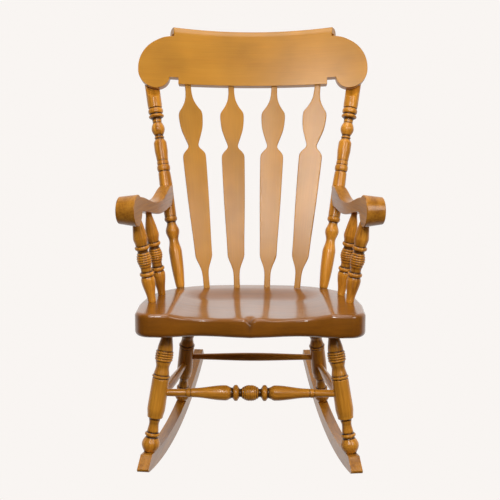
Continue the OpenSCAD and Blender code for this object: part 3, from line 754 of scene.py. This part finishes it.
# ---------------------------------------------------------------- seat
@dataclass
class SaddleSeat:
    """The scooped plank: a serpentine front with a cleft in its middle, and two shallow hollows."""

    layout: Layout
    bow_depth: float = 18
    bow_half: float = 119
    bow_return: float = 92
    corner_r: float = 42
    top_round: float = 9
    under_round: float = 12
    dish_half: float = 190
    dish: float = 15.5
    dish_edge: float = 4.2
    dish_rear_y: float = 285
    dish_fade: float = 120
    ridge: float = 6
    ridge_half: float = 75
    cleft: float = 12
    cleft_half: float = 15
    cleft_reach: float = 42
    grid: float = 9

    def bow(self, x: float) -> float:
        """How far the front edge draws back at a distance from the middle."""
        if x > self.bow_half:
            return self.bow_depth * (1 - ease((x - self.bow_half) / self.bow_return))
        return self.bow_depth * ease(x / self.bow_half) - 2 * max(0.0, 1 - x / 20)

    def outline(self) -> Outline:
        """The board's outline, front edge first."""
        w, d = self.layout.seat_w / 2, self.layout.seat_d
        cx = w - self.corner_r - 6
        half = [(x, self.bow(x)) for x in [*range(0, 30, 5), *range(30, int(cx), 8)]]
        half += oval(cx, self.corner_r, self.corner_r, self.corner_r, range(-84, 1, 7))
        half += [(w, 0.31 * d), (w - 1, 0.38 * d), (w - 3, 0.46 * d)]
        half += [((w - 4) * math.cos(a) ** 0.62, d * (0.5 + 0.5 * math.sin(a) ** 1.15))
                 for a in (math.radians(k) for k in range(6, 90, 4))]
        return half + [(0, d)] + [(-x, y) for x, y in half[:0:-1]]

    def hollow(self, x: float, y: float) -> float:
        """Depth of the saddle below the flat board."""
        u = abs(x)
        across = max(0.0, 1 - (u / self.dish_half) ** self.dish_edge)
        rear = 1 - ease((y + 0.0009 * u * u - self.dish_rear_y) / self.dish_fade)
        deep = (self.dish + 2.5 * ease(y / 160)) * across * rear
        spine = self.ridge * math.exp(-((u / self.ridge_half) ** 2)) * (1 - 0.72 * ease(y / 260)) * rear
        notch = self.cleft * max(0.0, 1 - u / self.cleft_half) ** 1.6 * (1 - ease((y + 4) / self.cleft_reach))
        return deep - min(deep, spine) + notch

    def build(self) -> None:
        """Saws, rounds over and scoops the board, then sets it on the legs."""
        t = self.layout.seat_t
        board = Timber("seat", Finish.SEAT, 3)
        board.slab(self.outline(), t, Matrix.Translation((0, 0, -t)))
        board.tidy()
        rims = board.sharp_edges(60)
        board.round_over([e for e in rims if min(v.co.z for v in e.verts) > -1], self.top_round, 5)
        rims = board.sharp_edges(60)
        board.round_over([e for e in rims if max(v.co.z for v in e.verts) < 1 - t], self.under_round, 5)
        for axis, low, high in ((0, -270, 271), (1, 6, 455)):
            board.slice(axis, low, high, self.grid)
        board.slice(0, -12, 13, 3)
        # Painted shade darkens the cleft in the front edge's middle, fading down the front face and back from
        # the edge
        board.mark(turned(90, "Y"), lambda p: (0.6 * max(0.0, 1 - abs(p.x) / 11) * (1 - ease((p.y - 3) / 10))
                                               * ease((p.z + t) / t)))

        def scoop(p: Vector) -> Vector:
            """Sinks the top and, less and less, the upper part of the edge."""
            share = ease((p.z + 0.72 * t) / (0.72 * t))
            crease = (2.0 * max(0.0, 1 - abs(p.x) / 14) * (1 - ease((p.y - 2) / 10))
                      * ease((p.z + 1.02 * t) / t))
            return Vector((p.x, p.y + crease, p.z - share * self.hollow(p.x, p.y)))

        board.bend(scoop)
        board.place(self.layout.seat)


# ---------------------------------------------------------------- back
@dataclass
class Splats:
    """Four arrow splats: a slim foot, a long tapered blade, a waist, a spade and a slim neck."""

    layout: Layout
    thickness: float = 11
    edge: float = 2.2
    feet_x: tuple[float, float] = (42.3, 126.8)
    feet_y: tuple[float, float] = (12, 6)
    outline_steps: int = 110
    heads_x: tuple[float, float] = (62.6, 187.0)
    shape: tuple[tuple[float, float], ...] = (
        (0.0, 17), (0.055, 17), (0.082, 20), (0.107, 28.5), (0.132, 40), (0.15, 46.3), (0.163, 47.6),
        (0.232, 50), (0.332, 55), (0.431, 59.5), (0.531, 62.8), (0.615, 65), (0.64, 65), (0.654, 62.5),
        (0.669, 51), (0.684, 34), (0.695, 29), (0.706, 31), (0.724, 38.5), (0.75, 49), (0.775, 58.5),
        (0.8, 64), (0.827, 67), (0.85, 67.8), (0.867, 64), (0.881, 53), (0.895, 42), (0.913, 31),
        (0.932, 23), (0.952, 19), (0.97, 17.2), (1.0, 17))

    def half_width(self, t: float) -> float:
        """Half of a splat's width a share t up it, on a smooth line through the shape."""
        pts = self.shape
        i = max(k for k in range(len(pts) - 1) if pts[k][0] <= t)
        (t0, w0), (t1, w1) = pts[i], pts[i + 1]
        before, after = pts[max(0, i - 1)], pts[min(len(pts) - 1, i + 2)]
        m0 = (w1 - before[1]) / (t1 - before[0]) * (t1 - t0)
        m1 = (after[1] - w0) / (after[0] - t0) * (t1 - t0)
        s = (t - t0) / (t1 - t0)
        w = ((2 * s**3 - 3 * s**2 + 1) * w0 + (s**3 - 2 * s**2 + s) * m0
             + (3 * s**2 - 2 * s**3) * w1 + (s**3 - s**2) * m1)
        return w / 2

    def build(self) -> None:
        """Saws and sets the four splats."""
        lay = self.layout
        for i, which in enumerate(("inner", "outer")):
            foot = Vector((self.feet_x[i], self.feet_y[i],
                           self.feet_y[i] * tangent(lay.back_lean - lay.seat_fall)))
            head = Vector((self.heads_x[i], lay.crest_y(self.heads_x[i], lay.crest_r + lay.crest_t / 2),
                           lay.crest_rise))
            length = (head - foot).length
            for side_name, side in SIDES.items():
                d = head - foot
                frame = (lay.back @ Matrix.Translation(mirrored(foot, side))
                         @ Matrix.Rotation(-math.atan(d.y / d.z), 4, "X")
                         @ Matrix.Rotation(side * math.atan(d.x / d.z), 4, "Y")
                         @ Matrix.Rotation(-side * math.asin(self.heads_x[i] / lay.crest_r), 4, "Z"))
                splat = Timber(f"splat_{side_name}_{which}", Finish.BACK, 20 + 2 * i + side)
                n = self.outline_steps
                right = [(self.half_width(k / n), length * k / n) for k in range(n + 1)]
                right = [(right[0][0], -6.0)] + right + [(right[-1][0], length + 4.0)]
                splat.slab(right + [(-x, z) for x, z in right[::-1]], self.thickness,
                           Matrix.Translation((0, self.thickness / 2, 0)) @ turned(90, "X"))
                splat.tidy()
                splat.round_over(splat.sharp_edges(60), self.edge, 3)
                splat.slice(2, 0, length, 24)
                splat.mark(Matrix.Identity(4))
                splat.place(frame, flat=True)


@dataclass
class CrestRail:
    """The bent top rail: round ears, stepped ends and a top edge that rolls backwards."""

    layout: Layout
    half_w: float = 325.3
    mid_half_w: float = 213
    ear_r: float = 97
    lobe_r: float = 50
    lobe_inner_r: float = 38
    shoulder: float = 147
    lobe_sink: float = 14
    notch_h: float = 19
    top_half_w: float = 227
    top_dip: float = 7
    roll_rise: float = -4
    end_flare: float = 0.42
    edge: float = 2.6

    def outline(self) -> Outline:
        """The rail's outline below the roll, from the middle of its bottom edge round."""
        w, m = self.half_w, self.mid_half_w
        lx, low = w - self.lobe_r, -self.lobe_sink
        start = -180 - math.degrees(math.asin((self.notch_h - low - self.lobe_inner_r) / self.lobe_inner_r))
        ear_h = self.layout.crest_ear_h
        half = [(0, 0), (m, 0), (m, self.notch_h)]
        for r, turn in ((self.lobe_inner_r, spaced(start, -90, 12)[:-1]), (self.lobe_r, spaced(-90, 0, 14))):
            half += oval(lx, low + r, r, r, turn)
        half += oval(w - self.ear_r, ear_h - self.ear_r, self.ear_r, self.ear_r, spaced(0, 90, 24))
        half += [(self.top_half_w, ear_h), (self.top_half_w, self.shoulder), (0, self.shoulder)]
        return half + [(-x, z) for x, z in half[-2:0:-1]]

    def roll(self) -> Outline:
        """The rolled top's outline, through the rail and up."""
        lip = self.shoulder + 14
        front = [(0, self.shoulder), (0, self.shoulder + 5), (1, self.shoulder + 10)]
        front += oval(9, lip, -7, 6, range(0, 90, 12))
        rear = oval(20, 151, 15.5, 16, range(84, -61, -10))
        return front + rear + [(24, 130), (20, 130), (20, self.shoulder)]

    def build(self) -> None:
        """Saws the rail, bends it to its curve and sets it across the posts."""
        lay = self.layout
        rail = Timber("crest_rail", Finish.BACK, 11)
        rail.slab(self.outline(), lay.crest_t,
                  Matrix.Translation((0, lay.crest_t, 0)) @ turned(90, "X"))
        rail.tidy()
        rims = [e for e in rail.sharp_edges(60) if min(v.co.z for v in e.verts) < self.shoulder - 1]
        rail.round_over(rims, self.edge, 4)
        panel = set(rail.bm.verts)
        rail.slab(self.roll(), 2 * self.top_half_w, side_plane(-self.top_half_w))
        roll = [v for v in rail.bm.verts if v not in panel]
        for v in roll:
            v.co.x += math.copysign(self.end_flare * v.co.y, v.co.x)
        bmesh.ops.recalc_face_normals(rail.bm, faces=rail.bm.faces)
        ends = [e for e in rail.bm.edges if all(v in set(roll) for v in e.verts)
                and len({round(v.co.x > 0) for v in e.verts}) == 1]
        rail.round_over(ends, 1.2, 2)
        rail.slice(0, -324, 325, 12)
        for side in (-1, 1):
            rail.slice(0, side * self.top_half_w, side * self.top_half_w + 1, 2)
            rail.slice(0, side * self.mid_half_w, side * self.mid_half_w + 1, 2)
        rail.slice(2, -6, 140, 12)
        rail.mark(turned(90, "Y"))

        def bow(p: Vector) -> Vector:
            """Bends the flat rail about its centre of curvature, its top edge dipping towards the middle."""
            rise = self.roll_rise + self.top_dip * (p.x / self.top_half_w) ** 2
            r = lay.crest_r + p.y
            return Vector((p.x, lay.crest_cy + math.sqrt(r * r - p.x * p.x),
                           lay.crest_rise + p.z + rise * ease((p.z - 125) / 25)))

        rail.bend(bow)
        rail.place(lay.back, flat=True)


@dataclass
class BackPosts:
    """The turned posts, from the seat up behind the crest rail's ears."""

    layout: Layout
    foot_d: float = 22
    head_d: float = 41
    scarf_below: float = 34
    pattern: list[Row] = field(default_factory=lambda: rows(
        (8, 25, C), (94, 36.5, B, 33.5), (33, 26.2, E), (26, 38.2, E), (25.5, 25, E),
        (5, 33, C), (10, 33, R, 36), (12, 34, C), (84, 36.5, B, 35),
        (12, 35.5, E), (19.5, 34.2, E), (6, 31, C), (18, 31.5, R, 37), (12, 31, R, 33.5),
        (6, 33, C), (27, 37, E), (19, 36.4, C), (15, 24.5, E), (3.5, 25, R, 28.5), (4.5, 23.5, C),
        (37, 25.5, B, 37.6),
        (11, 27, C), (4, 36, C), (8, 37, R, 43.5), (3, 34.5, C), (2, 38, C), (13, 38, R, 42.5), (2, 36, C),
        (2, 40, C), (13, 41, E)))

    def build(self) -> None:
        """Turns both posts, cuts their flats for the rail and sets them in the seat."""
        lay = self.layout
        foot, head = lay.post_ends()
        length = (head - foot).length
        plain = length - rows_length(self.pattern)
        into_back = lay.back.inverted()
        for name, side in SIDES.items():
            crown = rows((plain - 3, self.head_d, C), (3, self.head_d - 5, R, self.head_d - 1.5))
            post = Turning(self.foot_d, self.pattern + crown, steps=48).turn(
                f"back_post_{name}", Finish.TURNED, 40 + side, foot=12)
            frame = on_line(mirrored(foot, side), mirrored(head, side))
            local = into_back @ frame
            back_again = local.inverted()

            def flatten(p: Vector) -> Vector:
                """Cuts the flat that the rail is screwed to, with a scooped run-out at its foot."""
                q = local @ p
                below = max(0.0, lay.crest_rise - self.scarf_below + 22 - q.z)
                limit = lay.crest_y(abs(q.x), lay.crest_r + lay.crest_t) - below * below / 40
                if q.y < limit and q.z > lay.crest_rise - self.scarf_below - 20:
                    q.y = limit
                return back_again @ q

            post.bend(flatten)
            post.place(frame)


# ---------------------------------------------------------------- arms
@dataclass
class Arms:
    """Scrolled arms on a pair of turned spindles each."""

    layout: Layout
    scroll_r: float = 38.5
    scroll_w: float = 48
    inner_round: float = 3
    crown: float = 0.17
    tail_t: float = 31
    taper_y: float = 190
    scroll_turn: tuple[float, float] = (50.5, 348)
    edge_steps: int = 42
    outer_round: float = 19
    stain: float = 0.34
    tenon_d: float = 19
    top_d: float = 16
    feet: tuple[tuple[float, float], ...] = ((248, 165.5), (237, 274.8))
    heads: tuple[tuple[float, float], ...] = ((20, 147), (15, 250.3))
    pattern: list[Row] = field(default_factory=lambda: rows(
        (6, 20.5, C), (54, 35, E), (5, 32, C), (4, 28, C), (10, 29, R, 36.5), (15, 29, R, 26.5)))
    reeds: int = 6
    upper: list[Row] = field(default_factory=lambda: rows(
        (7, 28, R, 26.5), (10, 29, R, 36.5), (2, 30, C), (18, 36, E)))

    def outline(self) -> Outline:
        """The arm's side outline, back along it and up, round the scroll."""
        lay = self.layout
        top = [(y, lay.arm_top(y)) for y in spaced(lay.arm_rear_y, 131, self.edge_steps)]
        scroll = oval(lay.scroll_y, lay.scroll_z, self.scroll_r, self.scroll_r, spaced(*self.scroll_turn, 60))
        under = [(y, lay.arm_under(y)) for y in spaced(147, lay.arm_rear_y, self.edge_steps)]
        return top + scroll + under

    def reeded_ball(self) -> list[Row]:
        """The ball between the collars, cut with fine rings."""
        n = self.reeds
        made, total = [], 36.0
        for k in range(n):
            t = (k + 1) / n
            end = 28 + 8.5 * math.sin(math.pi * t) - 3.0
            mid_t = (k + 0.5) / n
            made.append(Row(total / n, max(26.0, end), R, 29 + 8.5 * math.sin(math.pi * mid_t)))
        return made

    def build(self) -> None:
        """Saws and rounds both arms, and turns and sets the four spindles."""
        lay = self.layout
        for name, side in SIDES.items():
            arm = Timber(f"arm_{name}", Finish.TURNED, 50 + side)
            arm.slab(self.outline(), lay.arm_t, side_plane(0, -lay.arm_front_y))
            arm.tidy()
            for v in arm.bm.verts:
                if v.co.x > 1:
                    back = v.co.y + lay.arm_front_y
                    v.co.x += (self.scroll_w - lay.arm_t) * (1 - ease((back - lay.scroll_y - 20) / 60))
                    along = (back - self.taper_y) / (lay.arm_rear_y - self.taper_y)
                    v.co.x -= (lay.arm_t - self.tail_t) * min(1.0, max(0.0, along))
            rims = arm.sharp_edges(60)
            inner = [e for e in rims if max(v.co.x for v in e.verts) < 1]
            arm.round_over(inner, self.inner_round, 3)
            outer = [e for e in arm.sharp_edges(60) if min(v.co.x for v in e.verts) > self.tail_t - 1]
            arm.round_over(outer, self.outer_round, 6)
            for v in arm.bm.verts:
                spoke = Vector((v.co.y + lay.arm_front_y - lay.scroll_y, v.co.z - lay.scroll_z))
                near = 1 - ease((spoke.x - 8) / 40)
                shrink = self.crown * near * max(0.0, (v.co.x - 16) / (self.scroll_w - 16)) ** 2.2
                v.co.y -= spoke.x * shrink
                v.co.z -= spoke.y * shrink
            arm.slice(1, -60, 300, 10)
            arm.mark(turned(90, "X"), lambda p: self.stain)
            mirror = Matrix.Diagonal((side, 1, 1, 1))
            arm.place(mirror @ lay.arm, flat=True)
            for which, foot, head in zip(("front", "rear"), self.feet, self.heads):
                a = lay.at(foot[0], foot[1], lay.seat_top(foot[1]))
                b = lay.arm @ Vector((head[0], head[1] - lay.arm_front_y, lay.arm_under(head[1])))
                pattern = self.pattern + self.reeded_ball() + self.upper
                rest = (b - a).length - rows_length(pattern) - 6
                pattern = pattern + rows((rest, self.top_d, B, 27), (6, self.top_d, C))
                spindle = Turning(self.tenon_d, pattern).turn(
                    f"arm_spindle_{which}_{name}", Finish.TURNED, 60 + side + 4 * (which == "rear"), 10, 10)
                spindle.place(on_line(mirrored(a, side), mirrored(b, side)))


# ---------------------------------------------------------------- legs, stretchers and rockers
@dataclass
class Undercarriage:
    """Turned legs and stretchers on a pair of bent rockers."""

    layout: Layout
    leg_start: float = 28
    foot_rows: list[Row] = field(default_factory=lambda: rows(
        (2, 30, C), (36, 29, B, 44.5), (2, 28, C), (9, 28, R, 37), (22, 23.5, E), (13, 28, E), (3, 38, C),
        (23, 43.5, E)))
    ring_rows: list[Row] = field(default_factory=lambda: rows(
        (2, 37, C), (7, 38, R, 44), (20, 32, E), (16, 38.5, E), (6, 38, R, 43.5), (6, 38, R, 44.5),
        (6, 38, R, 44.5), (6, 38, R, 43.5)))
    body_share: float = 0.62
    body_d: float = 41.5
    leg_tenon: float = 25.4
    tenon: float = 14
    front_rise: float = 145
    rear_rise: float = 146
    side_rise: float = 122
    middle_d: float = 37.4
    middle_half: list[Row] = field(default_factory=lambda: rows(
        (2.2, 37.4, C), (4.4, 35.6, R, 38.4), (4.4, 32.5, R, 37), (4.4, 28, R, 34), (4.6, 23, R, 29),
        (6, 21, R, 20), (4, 34, C), (10, 34, R, 39), (3, 25, C), (17, 37, E), (83, 22, E),
        (2, 20, C), (10, 20, R, 22.5), (2, 19.5, C)))
    leg_inset: float = 12
    rocker_edge: float = 3.5
    tip_lean: float = 27
    tail_lean: float = 6
    tip_corner: float = 7
    stain: float = 0.3

    def legs(self) -> None:
        """Turns and sets the four legs."""
        for front in (True, False):
            foot, head = self.layout.leg_ends(front)
            show = 6
            plain = (head - foot).length - rows_length(self.foot_rows + self.ring_rows) - show
            pattern = (self.foot_rows + rows((plain * self.body_share, self.body_d, E)) + self.ring_rows
                       + rows((plain * (1 - self.body_share), self.leg_tenon, E), (show, self.leg_tenon, C)))
            for name, side in SIDES.items():
                label = "front" if front else "rear"
                leg = Turning(self.leg_start, pattern).turn(
                    f"{label}_leg_{name}", Finish.TURNED, 70 + side + 4 * front, 6, 20)
                leg.place(on_line(mirrored(foot, side), mirrored(head, side)))

    def stretchers(self) -> None:
        """Turns and sets the stretchers between the legs."""
        lay = self.layout
        p = lay.on_leg(True, self.front_rise)
        half = self.middle_half + rows(
            (p.x - self.leg_inset - rows_length(self.middle_half), self.tenon + 3, C))
        starts = [self.middle_d] + [r.end for r in half]
        other_half = [Row(r.length, d, r.cut, r.middle) for r, d in zip(half, starts)][::-1]
        Turning(self.tenon + 3, other_half + half).turn("front_stretcher", Finish.TURNED, 81).place(
            on_line(Vector((-p.x + self.leg_inset, p.y, p.z)), p))
        q = lay.on_leg(False, self.rear_rise)
        self.plain("rear_stretcher", mirrored(q, -1), q, 23, 82)
        a, b = lay.on_leg(True, self.side_rise), lay.on_leg(False, self.side_rise)
        for name, side in SIDES.items():
            self.plain(f"side_stretcher_{name}", mirrored(a, side), mirrored(b, side), 24, 83 + side)

    def plain(self, name: str, a: Vector, b: Vector, middle: float, seed: int) -> None:
        """Turns and sets a stretcher that swells in its middle, between two legs' axes."""
        half = ((b - a).length - 2 * self.leg_inset) / 2
        start = a + (b - a).normalized() * self.leg_inset
        Turning(self.tenon + 2, rows((half, middle, E), (half, self.tenon + 2, E))).turn(
            name, Finish.TURNED, seed).place(on_line(start, b))

    def rockers(self) -> None:
        """Saws, rounds and sets both rockers."""
        lay = self.layout
        toe = lay.rocker_toe
        t0 = (-lay.rocker_len / 2 - lay.rocker_low_y) / math.cos(toe)
        t1 = (lay.rocker_len / 2 - lay.rocker_low_y) / math.cos(toe)
        end_r = lay.rocker_h / 2 - 0.1
        mid_r = lay.rocker_r - lay.rocker_h / 2
        a0, a1 = math.asin((t0 + end_r) / mid_r), math.asin((t1 - end_r) / mid_r)

        def arc(r: float, start: float, end: float, n: int) -> Outline:
            """Points along a curve about the rocker's centre, angles from straight down."""
            return [(r * math.sin(a), -r * math.cos(a)) for a in spaced(start, end, n)]

        def cap(angle: float, way: int) -> Outline:
            """The rounded end of a rocker."""
            cy, cz = mid_r * math.sin(angle), -mid_r * math.cos(angle)
            along = Vector((way * math.cos(angle), way * math.sin(angle)))
            up = Vector((-math.sin(angle), math.cos(angle)))
            lean = self.tip_lean if way < 0 else self.tail_lean
            corner = self.tip_corner
            made = []
            for back, rise, start, sweep in ((0.0, corner - end_r, -90, 90), (lean, end_r - corner, 18, 72)):
                for k in range(5):
                    a = math.radians(start + sweep * k / 4)
                    out, height = end_r - corner - back + corner * math.cos(a), rise + corner * math.sin(a)
                    made.append(tuple(Vector((cy, cz)) + out * along + height * up))
            return made

        outline = (arc(lay.rocker_r, a0, a1, 60) + cap(a1, 1)
                   + arc(lay.rocker_r - lay.rocker_h, a1,
                         a0 + (self.tip_lean + self.tip_corner - end_r) / mid_r, 60)
                   + cap(a0, -1)[::-1])
        for name, side in SIDES.items():
            rocker = Timber(f"rocker_{name}", Finish.TURNED, 90 + side)
            rocker.slab(outline, lay.rocker_w, side_plane(-lay.rocker_w / 2))
            rocker.tidy()
            rocker.round_over(rocker.sharp_edges(60), self.rocker_edge, 3)
            rocker.slice(1, -400, 420, 20)
            rocker.mark(turned(90, "X"), lambda p: self.stain)
            frame = (Matrix.Diagonal((side, 1, 1, 1))
                     @ Matrix.Translation((lay.rocker_x(lay.rocker_low_y), lay.rocker_low_y, lay.rocker_r))
                     @ Matrix.Rotation(toe, 4, "Z"))
            rocker.place(frame, flat=True)

    def build(self) -> None:
        """Builds everything below the seat."""
        self.legs()
        self.stretchers()
        self.rockers()


# ---------------------------------------------------------------- studio
@dataclass
class Studio:
    """A pale sweep, a bright wall behind the chair, soft boxes and the camera in front of the seat."""

    backdrop: str = "#F9F5F2"
    camera_at: tuple[float, float, float] = (0.027, -2.164, 0.900)
    turn: float = 0.85
    pitch: float = 9.66
    lens_mm: float = 57.9
    sensor_mm: float = 36
    shift: tuple[float, float] = (0.0002, -0.018)
    floor_half: float = 8.0

    def camera(self) -> None:
        """Sets the camera in front of the chair, a little above the seat."""
        data = bpy.data.cameras.new("camera")
        data.sensor_width = self.sensor_mm
        data.lens = self.lens_mm
        data.shift_x, data.shift_y = self.shift
        camera = add_object("camera", data)
        camera.location = self.camera_at
        camera.rotation_euler = (math.radians(90 - self.pitch), 0, math.radians(self.turn))
        bpy.context.scene.camera = camera

    def soft_box(self, name: str, at: tuple[float, float, float], look: tuple[float, float, float],
                 size: tuple[float, float], power: float, colour: str) -> None:
        """Hangs one soft box.

        Args:
            name: its name.
            at: where it hangs, in metres.
            look: the point that it faces.
            size: its width and height in metres.
            power: its power in watts.
            colour: the colour of its light.
        """
        data = bpy.data.lights.new(name, "AREA")
        data.shape = "RECTANGLE"
        data.size, data.size_y = size
        data.energy = power
        data.color = linear(colour)[:3]
        light = add_object(name, data)
        light.location = at
        light.rotation_euler = (Vector(look) - Vector(at)).to_track_quat("-Z", "Y").to_euler()

    def world(self) -> None:
        """A white wall behind the chair and a dimmer room in front of it; the backdrop is even everywhere."""
        world = bpy.data.worlds.new("studio")
        bpy.context.scene.world = world
        tree = bare_tree(world)
        ray = add_node(tree, "ShaderNodeLightPath").outputs["Is Camera Ray"]
        direction = add_node(tree, "ShaderNodeTexCoord").outputs["Generated"]
        along = add_node(tree, "ShaderNodeSeparateXYZ", links={0: direction}).outputs["Y"]
        wall = add_node(tree, "ShaderNodeMapRange",
                        {"interpolation_type": "SMOOTHSTEP", "From Min": -0.15, "From Max": 0.35,
                         "To Min": 0.07, "To Max": 0.95}, {"Value": along})
        room = add_node(tree, "ShaderNodeBackground", {"Color": linear(self.backdrop)},
                        {"Strength": wall.outputs[0]})
        seen = add_node(tree, "ShaderNodeBackground", {"Color": linear(self.backdrop), "Strength": 1.0})
        both = add_node(tree, "ShaderNodeMixShader", links={0: ray, 1: room.outputs[0], 2: seen.outputs[0]})
        add_node(tree, "ShaderNodeOutputWorld", links={"Surface": both.outputs[0]})

    def floor(self) -> None:
        """A pale back-lit floor that carries on into the backdrop."""
        bm = bmesh.new()
        bmesh.ops.create_grid(bm, x_segments=1, y_segments=1, size=self.floor_half)
        mesh = bpy.data.meshes.new("floor")
        bm.to_mesh(mesh)
        bm.free()
        floor = add_object("floor", mesh)
        paper = bpy.data.materials.new("pale_paper_sweep")
        paper.use_nodes = True
        sheet = paper.node_tree.nodes["Principled BSDF"].inputs
        sheet["Base Color"].default_value = (0, 0, 0, 1)
        sheet["Specular IOR Level"].default_value = 0.0
        sheet["Emission Color"].default_value = linear(self.backdrop)
        sheet["Emission Strength"].default_value = 1.0
        mesh.materials.append(paper)
        # Lit from behind, the sweep shows no shadow, and it is kept from throwing light up at the chair
        floor.visible_diffuse = floor.visible_glossy = False

    def build(self) -> None:
        """Sets up camera, light and floor."""
        self.camera()
        self.world()
        self.floor()
        self.soft_box("overhead", (0.0, -0.6, 2.7), (0, 0, 0.5), (1.6, 1.2), 27, "#FFFFFF")
        self.soft_box("front_left", (-0.5, -2.3, 2.1), (0, 0, 0.6), (0.3, 1.0), 22, "#FFFFFF")
        self.soft_box("front_right", (1.7, -2.1, 1.9), (0, 0, 0.6), (1.0, 1.4), 30, "#FFFAF4")
        self.soft_box("low_front", (0.0, -2.5, 1.72), (0, 0, 0.6), (1.1, 0.36), 14, "#FFFFFF")
        view = bpy.context.scene.view_settings
        view.view_transform = "Standard"
        view.look = "None"


def main() -> None:
    """Builds the chair around its frame."""
    logging.basicConfig(level=logging.INFO, format="%(name)s: %(message)s")
    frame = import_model()
    Studio().build()
    layout = Layout()
    for part in (SaddleSeat(layout), Splats(layout), CrestRail(layout), BackPosts(layout), Arms(layout),
                 Undercarriage(layout)):
        LOG.info("building %s", type(part).__name__)
        part.build()
    for node, finish in (("crest_plugs", Finish.PLUG), ("arm_plugs", Finish.PLUG),
                         ("crest_screws", Finish.SCREW), ("arm_screws", Finish.SCREW),
                         ("rocker_screws", Finish.SCREW)):
        fixing = frame["nodes"][node]
        fixing.data.materials.clear()
        fixing.data.materials.append(material_of(finish))
        LOG.info("%s keeps its CAD mesh", node)


if __name__ == "__main__":
    main()
